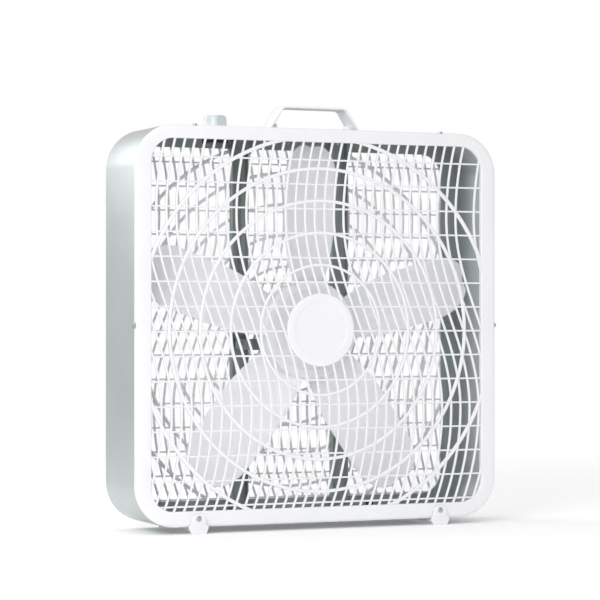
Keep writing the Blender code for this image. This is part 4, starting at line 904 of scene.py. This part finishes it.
def make_disc(prefix, face_y, towards):
    """Centre disc: rounded edge, a shallow sloped border, a fine step and a flat middle."""
    def at(depth):
        return face_y + towards * depth * MM

    edge = DISC_RADIUS
    profile = [
        (0, at(1.0)), (36.2 * MM, at(1.0)), (36.8 * MM, at(0.95)), (37.3 * MM, at(0.55)),
        (38.0 * MM, at(0.4)), (46.4 * MM, at(0.4)), (47.6 * MM, at(0.6)), (48.2 * MM, at(1.1)),
        (edge, at(1.8)), (edge, at(4.2)), (edge - 0.4 * MM, at(4.6)), (0, at(4.6)),
    ]
    bm = turned(profile, Matrix.Translation((0, 0, AXIS_Z)) @ TOWARDS_BACK, 128)
    add_piece(prefix + "_disc", bm, "white_plastic")


# ---------------------------------------------------------------- fan and motor


def blade_half_chord(radius):
    """Half of a blade's width at a radius: opening out from the hub, then closing at the tip."""
    if radius > BLADE_SHOULDER:
        share = (radius - BLADE_SHOULDER) / (BLADE_TIP - BLADE_SHOULDER)
        rounding = 1 - math.sqrt(max(0.0, 1 - share * share))
        return BLADE_HALF_CHORD - (BLADE_HALF_CHORD - BLADE_TIP_HALF_CHORD) * rounding
    share = (radius - BLADE_CHORD_START) / (BLADE_SHOULDER - BLADE_CHORD_START)
    opening = math.sin(math.pi / 2 * min(1.0, share * 1.6))
    return BLADE_ROOT_HALF_CHORD + (BLADE_HALF_CHORD - BLADE_ROOT_HALF_CHORD) * opening


def blade_point(along, across, blade_angle):
    """A point on a blade's middle surface: along from root 0 to tip 1, across from -1 to 1."""
    radius = BLADE_ROOT + (BLADE_TIP - BLADE_ROOT) * math.sin(math.pi / 2 * along)
    chord = blade_half_chord(radius) * across
    angle = blade_angle + chord / radius
    depth = BLADE_CAMBER * (1 - across * across) - chord * BLADE_RISE / (radius + BLADE_RISE_RADIUS)
    return Vector((
        radius * math.cos(angle), BLADE_MIDDLE_Y + depth, AXIS_Z + radius * math.sin(angle)
    ))


def make_fan():
    """Moulded five-blade fan: curved, twisted blades with rounded edges on a ribbed cup hub."""
    for index in range(BLADE_COUNT):
        angle = FIRST_BLADE + 2 * math.pi * index / BLADE_COUNT
        bm = bmesh.new()
        bmesh.ops.create_grid(bm, x_segments=40, y_segments=16, size=1.0)
        for vert in bm.verts:
            vert.co = blade_point((vert.co.x + 1) / 2, vert.co.y, angle)
        bm.normal_update()
        bmesh.ops.solidify(bm, geom=bm.faces, thickness=BLADE_THICKNESS)
        bmesh.ops.recalc_face_normals(bm, faces=bm.faces)
        round_edges(bm, 0.6 * MM, 2, 60)
        replaced = ["fan_blade"] if index == 0 else []
        add_piece(f"blade_{index + 1}", bm, "blade_plastic", "fan_rotor", replaced)
    inner = HUB_RADIUS - HUB_WALL
    web = HUB_FRONT + HUB_WALL
    easing = 0.4 * MM
    step = 0.6 * MM
    profile = [(HUB_BORE, HUB_FRONT), (12 * MM, HUB_FRONT), (12 * MM + step, HUB_FRONT + step)]
    profile += [(HUB_RADIUS - 14 * MM, HUB_FRONT + step), (HUB_RADIUS - 14 * MM + step, HUB_FRONT)]
    profile += arc(HUB_RADIUS - HUB_ROUND, HUB_FRONT + HUB_ROUND, HUB_ROUND, 270, 360, 7)
    profile += [(HUB_RADIUS, HUB_BACK - easing), (HUB_RADIUS - easing, HUB_BACK)]
    profile += [(inner + easing, HUB_BACK), (inner, HUB_BACK - easing), (inner, web + 3 * MM)]
    profile += [(inner - 3 * MM, web), (HUB_BOSS + MM, web), (HUB_BOSS, web + MM)]
    profile += [(HUB_BOSS, HUB_BACK), (HUB_BORE, HUB_BACK)]
    place = Matrix.Translation((0, 0, AXIS_Z)) @ TOWARDS_BACK
    hub = turned(profile, place, 96, closed=True)
    add_piece("fan_hub", hub, "blade_plastic", "fan_rotor")
    ribs = bmesh.new()
    for index in range(RIB_COUNT):
        rib = bmesh.new()
        add_box(
            rib, (HUB_BOSS - 0.5 * MM, web - 0.5 * MM, -0.8 * MM),
            (inner + 0.5 * MM, -6 * MM, 0.8 * MM),
        )
        round_edges(rib, 0.3 * MM, 2)
        bmesh.ops.transform(rib, matrix=around_axis(index / RIB_COUNT), verts=rib.verts)
        merge_in(ribs, rib)
    add_piece("fan_hub_ribs", ribs, "blade_plastic", "fan_rotor")


def shell_profile(open_y, closed_y):
    """Cross-section of a drawn motor shell with a rounded shoulder and a bearing cup."""
    out = 1 if closed_y > open_y else -1
    shoulder = arc(MOTOR_RADIUS - MOTOR_ROUND, 0, MOTOR_ROUND, 0, 90, 6)
    bend = closed_y - out * MOTOR_ROUND
    profile = [(MOTOR_RADIUS, open_y)] + [(radius, bend + out * rise) for radius, rise in shoulder]
    profile += [(15 * MM, closed_y), (13 * MM, closed_y + out * 0.6 * MM)]
    profile += [(11.6 * MM, closed_y + out * 2 * MM), (MOTOR_CUP_RADIUS, closed_y + out * 2 * MM)]
    profile += [(MOTOR_CUP_RADIUS, closed_y - out * 7.7 * MM), (12 * MM, closed_y - out * 7.7 * MM)]
    profile += [(radius, closed_y - out * MOTOR_WALL) for radius in (12 * MM, 38 * MM)]
    inner = MOTOR_RADIUS - MOTOR_WALL
    return profile + [(inner, bend - out * 0.6 * MM), (inner, open_y)]


def bevel_along_y(bm, offset, segments, beyond=0.0):
    """Rounds the edges that run front to back, where they lie beyond a distance from the middle."""
    edges = [
        e for e in bm.edges
        if abs(e.verts[0].co.y - e.verts[1].co.y) > MM and abs(e.verts[0].co.x) > beyond
    ]
    bmesh.ops.bevel(
        bm, geom=edges, offset=offset, offset_type="OFFSET", segments=segments, profile=0.5,
        affect="EDGES", material=-1,
    )


def cut_vents(piece, closed_y):
    """Round-ended slots through a shell's closed end, two in every three places."""
    cutter = bmesh.new()
    for index in range(VENT_PLACES):
        if index % 3 == 1:
            continue
        slot = bmesh.new()
        add_box(
            slot, (VENT_SPAN[0], closed_y - 4 * MM, -VENT_WIDTH / 2),
            (VENT_SPAN[1], closed_y + 4 * MM, VENT_WIDTH / 2),
        )
        bevel_along_y(slot, VENT_WIDTH / 2 - 0.1 * MM, 5)
        spin = around_axis(-(index + 0.5) / VENT_PLACES)
        bmesh.ops.transform(slot, matrix=spin, verts=slot.verts)
        merge_in(cutter, slot)
    cut_away(piece, [cutter])


def make_motor():
    """Two drawn shells with vent slots, clamped over the laminated core, on four dark ears."""
    place = Matrix.Translation((0, 0, AXIS_Z)) @ TOWARDS_BACK
    for name, node, (open_y, closed_y), vent_y in (
        ("motor_front_shell", "motor_shell_front", FRONT_SHELL, FRONT_SHELL[1]),
        ("motor_rear_shell", "motor_shell_rear", REAR_SHELL, REAR_SHELL[1] - 0.3 * MM),
    ):
        shell = turned(shell_profile(open_y, closed_y), place, 96, closed=True)
        cut_vents(add_piece(name, shell, "motor_steel", replaces=[node]), vent_y)
    ears = bmesh.new()
    for side in (-1, 1):
        for rise in (-EAR_RISE, EAR_RISE):
            ear = bmesh.new()
            x_low, x_high = sorted(side * x for x in EAR_SPAN)
            z = AXIS_Z + rise
            add_box(
                ear, (x_low, EAR_DEPTH[0], z - EAR_HALF_HEIGHT),
                (x_high, EAR_DEPTH[1], z + EAR_HALF_HEIGHT),
            )
            bevel_along_y(ear, 6 * MM, 6, 60 * MM)
            round_edges(ear, 0.4 * MM, 2)
            merge_in(ears, ear)
    add_piece("motor_ears", ears, "motor_steel", material=MATERIALS["strut_steel"])


# ---------------------------------------------------------------- screws


def screw_mesh():
    """A pan-head screw with a cross recess; Z points out of the head, whose seat is at zero."""
    profile = [(0, -SHANK_LENGTH), (SHANK_RADIUS - 0.3 * MM, -SHANK_LENGTH)]
    profile += [(SHANK_RADIUS, 0.4 * MM - SHANK_LENGTH), (SHANK_RADIUS, 0), (HEAD_RADIUS, 0)]
    profile += [
        (HEAD_RADIUS * across, HEAD_HEIGHT * up)
        for across, up in ((1, 0.45), (0.96, 0.66), (0.86, 0.84), (0.66, 0.95), (0.36, 1), (0, 1))
    ]
    bm = turned(profile, UP, 28)
    bmesh.ops.recalc_face_normals(bm, faces=bm.faces)
    mesh = bpy.data.meshes.new("screw")
    bm.to_mesh(mesh)
    bm.free()
    screw = bpy.data.objects.new("screw", mesh)
    bpy.context.scene.collection.objects.link(screw)
    cutters = []
    for sx, sy in ((1.9, 0.42), (0.42, 1.9)):
        cutter = bmesh.new()
        add_box(
            cutter, (-sx * MM, -sy * MM, HEAD_HEIGHT * 0.4), (sx * MM, sy * MM, HEAD_HEIGHT * 2)
        )
        bottom = [v for v in cutter.verts if v.co.z < HEAD_HEIGHT]
        for vert in bottom:
            vert.co.x *= 0.7
            vert.co.y *= 0.7
        cutters.append(cutter)
    cut_away(screw, cutters)
    finished = screw.data.copy()
    bpy.data.objects.remove(screw)
    return finished


def make_screws():
    """One screw in place of each of the frame's, every one turned differently."""
    headings = dict(SCREW_HEADINGS)
    for name in frame["nodes"]:
        if name.startswith(("strut_screw", "ear_screw", "motor_bolt")):
            headings[name] = TOWARDS_FRONT
    shape = screw_mesh()
    for number, (name, place) in enumerate(sorted(headings.items())):
        low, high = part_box(name)
        out = place.to_3x3() @ Vector((0, 0, 1))
        middle = (low + high) / 2
        for axis in range(3):
            if abs(out[axis]) > 0.5:
                tip = high[axis] if out[axis] > 0 else low[axis]
                middle[axis] = tip - math.copysign(HEAD_HEIGHT, out[axis])
        bm = bmesh.new()
        bm.from_mesh(shape)
        spin = Matrix.Rotation(number * 1.1, 4, "Z")
        bmesh.ops.transform(bm, matrix=Matrix.Translation(middle) @ place @ spin, verts=bm.verts)
        add_piece(name + "_head", bm, "zinc_steel", replaces=[name])
    bpy.data.meshes.remove(shape)


# ---------------------------------------------------------------- knob, handle, feet


def make_knob():
    """Turned knob with two gripping flats, a rounded top edge and a raised pointer line."""
    low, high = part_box("speed_knob")
    centre = (low + high) / 2
    height = high.z - low.z
    radius = (high.x - low.x) / 2
    profile = [(0, 12 * MM), (3.1 * MM, 12 * MM), (3.1 * MM, 4 * MM)]
    profile += [(9.5 * MM, 4 * MM), (9.5 * MM, 0), (radius - 0.5 * MM, 0), (radius, 0.6 * MM)]
    profile += [(radius - 0.5 * MM, height - 4.4 * MM)]
    profile += arc(radius - 4.6 * MM, height - 4.2 * MM, KNOB_ROUND, 0, 84, 9)
    profile += [(radius - 6 * MM, height), (0, height - 0.3 * MM)]
    bm = turned(profile, UP, 96)
    for heading in (KNOB_HEADING, KNOB_HEADING + 180):
        angle = math.radians(heading)
        normal = (math.cos(angle), math.sin(angle), 0.04)
        slice_off(bm, (normal[0] * KNOB_FLAT, normal[1] * KNOB_FLAT, height / 2), normal)
    place = Matrix.Translation((centre.x, centre.y, low.z))
    bmesh.ops.transform(bm, matrix=place, verts=bm.verts)
    add_piece("knob_cap", bm, "knob_plastic", "switch_knob", ["speed_knob"], angle=28)
    pointer = bmesh.new()
    add_box(
        pointer, (-0.7 * MM, 2 * MM, height - 1.2 * MM), (0.7 * MM, 10 * MM, height - 0.05 * MM)
    )
    round_edges(pointer, 0.25 * MM, 2)
    place = place @ Matrix.Rotation(math.radians(KNOB_HEADING - 90), 4, "Z")
    bmesh.ops.transform(pointer, matrix=place, verts=pointer.verts)
    add_piece("knob_pointer", pointer, "white_plastic", "switch_knob")


def numeral_mesh(digit):
    """A raised digit, flat on its plate and centred, as a mesh of its own."""
    text = bpy.data.curves.new("numeral", "FONT")
    text.body = digit
    text.size = 4.6 * MM
    text.extrude = MARK_RISE
    text.resolution_u = 3
    text.align_x = "CENTER"
    text.align_y = "CENTER"
    label = bpy.data.objects.new("numeral", text)
    bpy.context.scene.collection.objects.link(label)
    depsgraph = bpy.context.evaluated_depsgraph_get()
    mesh = bpy.data.meshes.new_from_object(label.evaluated_get(depsgraph))
    bpy.data.objects.remove(label)
    bpy.data.curves.remove(text)
    return mesh


def make_dial_marks():
    """Raised numerals and ticks on the dial plate: off, and three speeds 45 degrees apart."""
    low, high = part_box("dial_plate")
    centre = (low + high) / 2
    marks = bmesh.new()
    for speed in range(4):
        turn_by = Matrix.Rotation(math.radians(KNOB_HEADING + SPEED_STEP * speed), 4, "Z")
        tick = bmesh.new()
        add_box(tick, (16.3 * MM, -0.3 * MM, -0.1 * MM), (17.9 * MM, 0.3 * MM, MARK_RISE))
        bmesh.ops.transform(tick, matrix=turn_by, verts=tick.verts)
        merge_in(marks, tick)
        mesh = numeral_mesh(str(speed))
        outwards = Matrix.Translation((20 * MM, 0, 0)) @ Matrix.Rotation(-math.pi / 2, 4, "Z")
        mesh.transform(turn_by @ outwards)
        marks.from_mesh(mesh)
        bpy.data.meshes.remove(mesh)
    place = Matrix.Translation((centre.x, centre.y, high.z))
    bmesh.ops.transform(marks, matrix=place, verts=marks.verts)
    add_piece("dial_marks", marks, "strut_steel")


def make_gland():
    """Split cord bush: domed head, a waist where the plate grips it, and a bell mouth for the cord."""
    low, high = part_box("cord_gland")
    centre = (low + high) / 2
    head = (high.x - low.x) / 2
    face = high.y - 2 * MM
    profile = [(3.4 * MM, low.y + 0.6 * MM), (4.0 * MM, low.y), (4.5 * MM, low.y + 0.4 * MM)]
    profile += [(4.7 * MM, face), (head - 0.3 * MM, face), (head, face + 0.3 * MM)]
    profile += arc(head - 1.2 * MM, high.y - 1.2 * MM, 1.2 * MM, 0, 90, 5)
    profile += [(4.6 * MM, high.y), (4.0 * MM, high.y - 0.3 * MM), (3.4 * MM, high.y - 1.2 * MM)]
    place = Matrix.Translation((centre.x, 0, centre.z)) @ TOWARDS_BACK
    bm = turned(profile, place, 48, closed=True)
    add_piece("cord_bush", bm, "black_plastic", replaces=["cord_gland"])


def make_handle():
    """Moulded strap: flat-topped arch with rounded corners and softened edges."""
    low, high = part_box("carry_handle")
    base, top = low.z, high.z
    slope = math.atan2(top - base, HANDLE_BASE_HALF - HANDLE_TOP_HALF)
    run = math.tan(slope / 2)

    def arch(base_half, top_half, height, radius):
        start = 90 - math.degrees(slope)
        points = [(base_half, base)]
        points += arc(top_half - radius * run, height - radius, radius, start, 90, 8)
        return points + [(-x, z) for x, z in reversed(points)]

    outer = arch(HANDLE_BASE_HALF, HANDLE_TOP_HALF, top, HANDLE_ROUND)
    inner = arch(
        HANDLE_BASE_HALF - HANDLE_THICKNESS / math.sin(slope),
        HANDLE_TOP_HALF - HANDLE_THICKNESS * run, top - HANDLE_THICKNESS,
        HANDLE_ROUND - HANDLE_THICKNESS,
    )
    strap = push(outer + inner[::-1], low.y, high.y)
    round_edges(strap, 0.9 * MM, 3, 60)
    add_piece("handle_strap", strap, "white_plastic", replaces=["carry_handle"])
    bosses = bmesh.new()
    for x in (-BOSS_X, BOSS_X):
        boss = bmesh.new()
        add_box(boss, (x - 5 * MM, -30 * MM, base), (x + 5 * MM, -14 * MM, base + BOSS_HEIGHT))
        round_edges(boss, 0.5 * MM, 2)
        merge_in(bosses, boss)
    add_piece("handle_bosses", bosses, "white_plastic")


def foot_outline(x):
    """Front view of a foot's tab: narrow sole, wide shoulders, round top."""
    side = [(FOOT_HALF_WIDTH, 0), (FOOT_SHOULDER, 8.6 * MM), (FOOT_SHOULDER - 0.3 * MM, 10.4 * MM)]
    side += [(FOOT_HALF_WIDTH + 0.5 * MM, 12.6 * MM)]
    outline = [(x + across, z) for across, z in side]
    outline += arc(x, 16 * MM, FOOT_HALF_WIDTH + 0.5 * MM, 0, 180, 16)
    return outline + [(x - across, z) for across, z in reversed(side)]


def make_feet():
    """Moulded feet: a bar under the fan, a pad at each end and a screwed, round-topped tab."""
    inner, outer = FOOT_TAB_Y
    for name, x in (("foot_left", -FOOT_X), ("foot_right", FOOT_X)):
        bm = bmesh.new()
        for end in (-1, 1):
            tab = push(foot_outline(x), end * inner, end * outer)
            edges = [
                e for e in tab.edges
                if all(abs(v.co.y - end * outer) < 0.01 * MM and v.co.z > MM for v in e.verts)
            ]
            bmesh.ops.bevel(
                tab, geom=edges, offset=0.7 * MM, offset_type="OFFSET", segments=3, profile=0.5,
                affect="EDGES", material=-1,
            )
            merge_in(bm, tab)
            pad = bmesh.new()
            y_low, y_high = sorted((end * FOOT_PAD_START, end * inner))
            add_box(
                pad, (x - FOOT_PAD_HALF_WIDTH, y_low, 0), (x + FOOT_PAD_HALF_WIDTH, y_high, 8.6 * MM)
            )
            round_edges(pad, 0.6 * MM, 2)
            merge_in(bm, pad)
        bar = bmesh.new()
        reach = inner + 0.2 * MM
        add_box(
            bar, (x - FOOT_HALF_WIDTH, -reach, 3.8 * MM), (x + FOOT_HALF_WIDTH, reach, FOOT_BAR_TOP)
        )
        round_edges(bar, 0.6 * MM, 2)
        merge_in(bm, bar)
        piece = add_piece(name + "_moulding", bm, "white_plastic", replaces=[name])
        pockets = bmesh.new()
        place = Matrix.Translation((x, 0, FOOT_SCREW_Z)) @ TOWARDS_BACK
        for start, stop in ((-64 * MM, -60.4 * MM), (60.4 * MM, 64 * MM)):
            merge_in(pockets, turned(
                [(0, start), (NOTCH_RADIUS, start), (NOTCH_RADIUS, stop), (0, stop)], place, 32
            ))
        cut_away(piece, [pockets])


def dress_frame_nodes():
    """Gives the pieces that keep their own shape their finish."""
    slots = {entry["node"]: entry["material_slot"] for entry in frame["record"]["subparts"]}
    for name, node in frame["nodes"].items():
        material = MATERIALS[OWN_FINISH.get(name, slots[name])]
        node.data.materials.clear()
        node.data.materials.append(material)


# ---------------------------------------------------------------- studio


def stage_mesh(name, bm, material):
    """Adds a staged object, which isn't part of the fan."""
    mesh = bpy.data.meshes.new(name)
    bm.to_mesh(mesh)
    bm.free()
    mesh.materials.append(material)
    staged = bpy.data.objects.new(name, mesh)
    bpy.context.scene.collection.objects.link(staged)
    return staged


def add_softbox(name, place, aim, size, power):
    """A square soft lamp that the camera doesn't see."""
    data = bpy.data.lights.new(name, "AREA")
    data.shape = "SQUARE"
    data.size = size
    data.energy = power
    light = bpy.data.objects.new(name, data)
    light.location = place
    light.rotation_euler = (Vector(aim) - Vector(place)).to_track_quat("-Z", "Y").to_euler()
    light.visible_camera = False
    bpy.context.scene.collection.objects.link(light)


def light_studio():
    """White surround, two softboxes, a faint broad top light and a board that shades the wall."""
    world = bpy.data.worlds.new("studio")
    bpy.context.scene.world = world
    world.use_nodes = True
    background = world.node_tree.nodes["Background"]
    background.inputs["Color"].default_value = linear("FFFFFF")
    rays = add_node(world.node_tree, "ShaderNodeLightPath")
    strength = add_node(
        world.node_tree, "ShaderNodeMapRange",
        inputs={"To Min": SURROUND_LIGHT, "To Max": SURROUND_SEEN},
        links={"Value": (rays, "Is Camera Ray")},
    )
    world.node_tree.links.new(strength.outputs["Result"], background.inputs["Strength"])
    add_softbox("key_softbox", *KEY_SOFTBOX)
    add_softbox("rear_softbox", *REAR_SOFTBOX)
    board = bmesh.new()
    add_box(board, *LIGHT_FLAG)
    stage_mesh("light_flag", board, MATERIALS["black_plastic"]).visible_camera = False
    sun = bpy.data.lights.new("top_light", "SUN")
    sun.angle = math.radians(40)
    sun.energy = 0.3
    top_light = bpy.data.objects.new("top_light", sun)
    top_light.rotation_euler = (math.radians(-11), 0, 0)
    bpy.context.scene.collection.objects.link(top_light)


def make_studio():
    """Floor, lights and camera."""
    floor = bmesh.new()
    bmesh.ops.create_circle(floor, cap_ends=True, segments=128, radius=FLOOR_RADIUS)
    stage_mesh("floor", floor, floor_paper())
    light_studio()

    camera_data = bpy.data.cameras.new("camera")
    camera_data.lens = CAMERA_LENS
    camera_data.sensor_width = 36
    camera_data.clip_end = 50
    camera = bpy.data.objects.new("camera", camera_data)
    camera.location = CAMERA_PLACE
    camera.rotation_euler = [math.radians(angle) for angle in CAMERA_TURN]
    bpy.context.scene.collection.objects.link(camera)
    bpy.context.scene.camera = camera

    settings = bpy.context.scene.view_settings
    settings.view_transform = "Standard"
    settings.look = "None"


dress_frame_nodes()
make_housing()
make_front_rim()
make_rear_rim()
make_lattice("front", FRONT_OPENING, FRONT_Y, 1, 1)
make_lattice("rear", REAR_OPENING, REAR_RIM_BACK, -1, -1)
make_fan()
make_motor()
make_screws()
make_knob()
make_dial_marks()
make_gland()
make_handle()
make_feet()
make_studio()
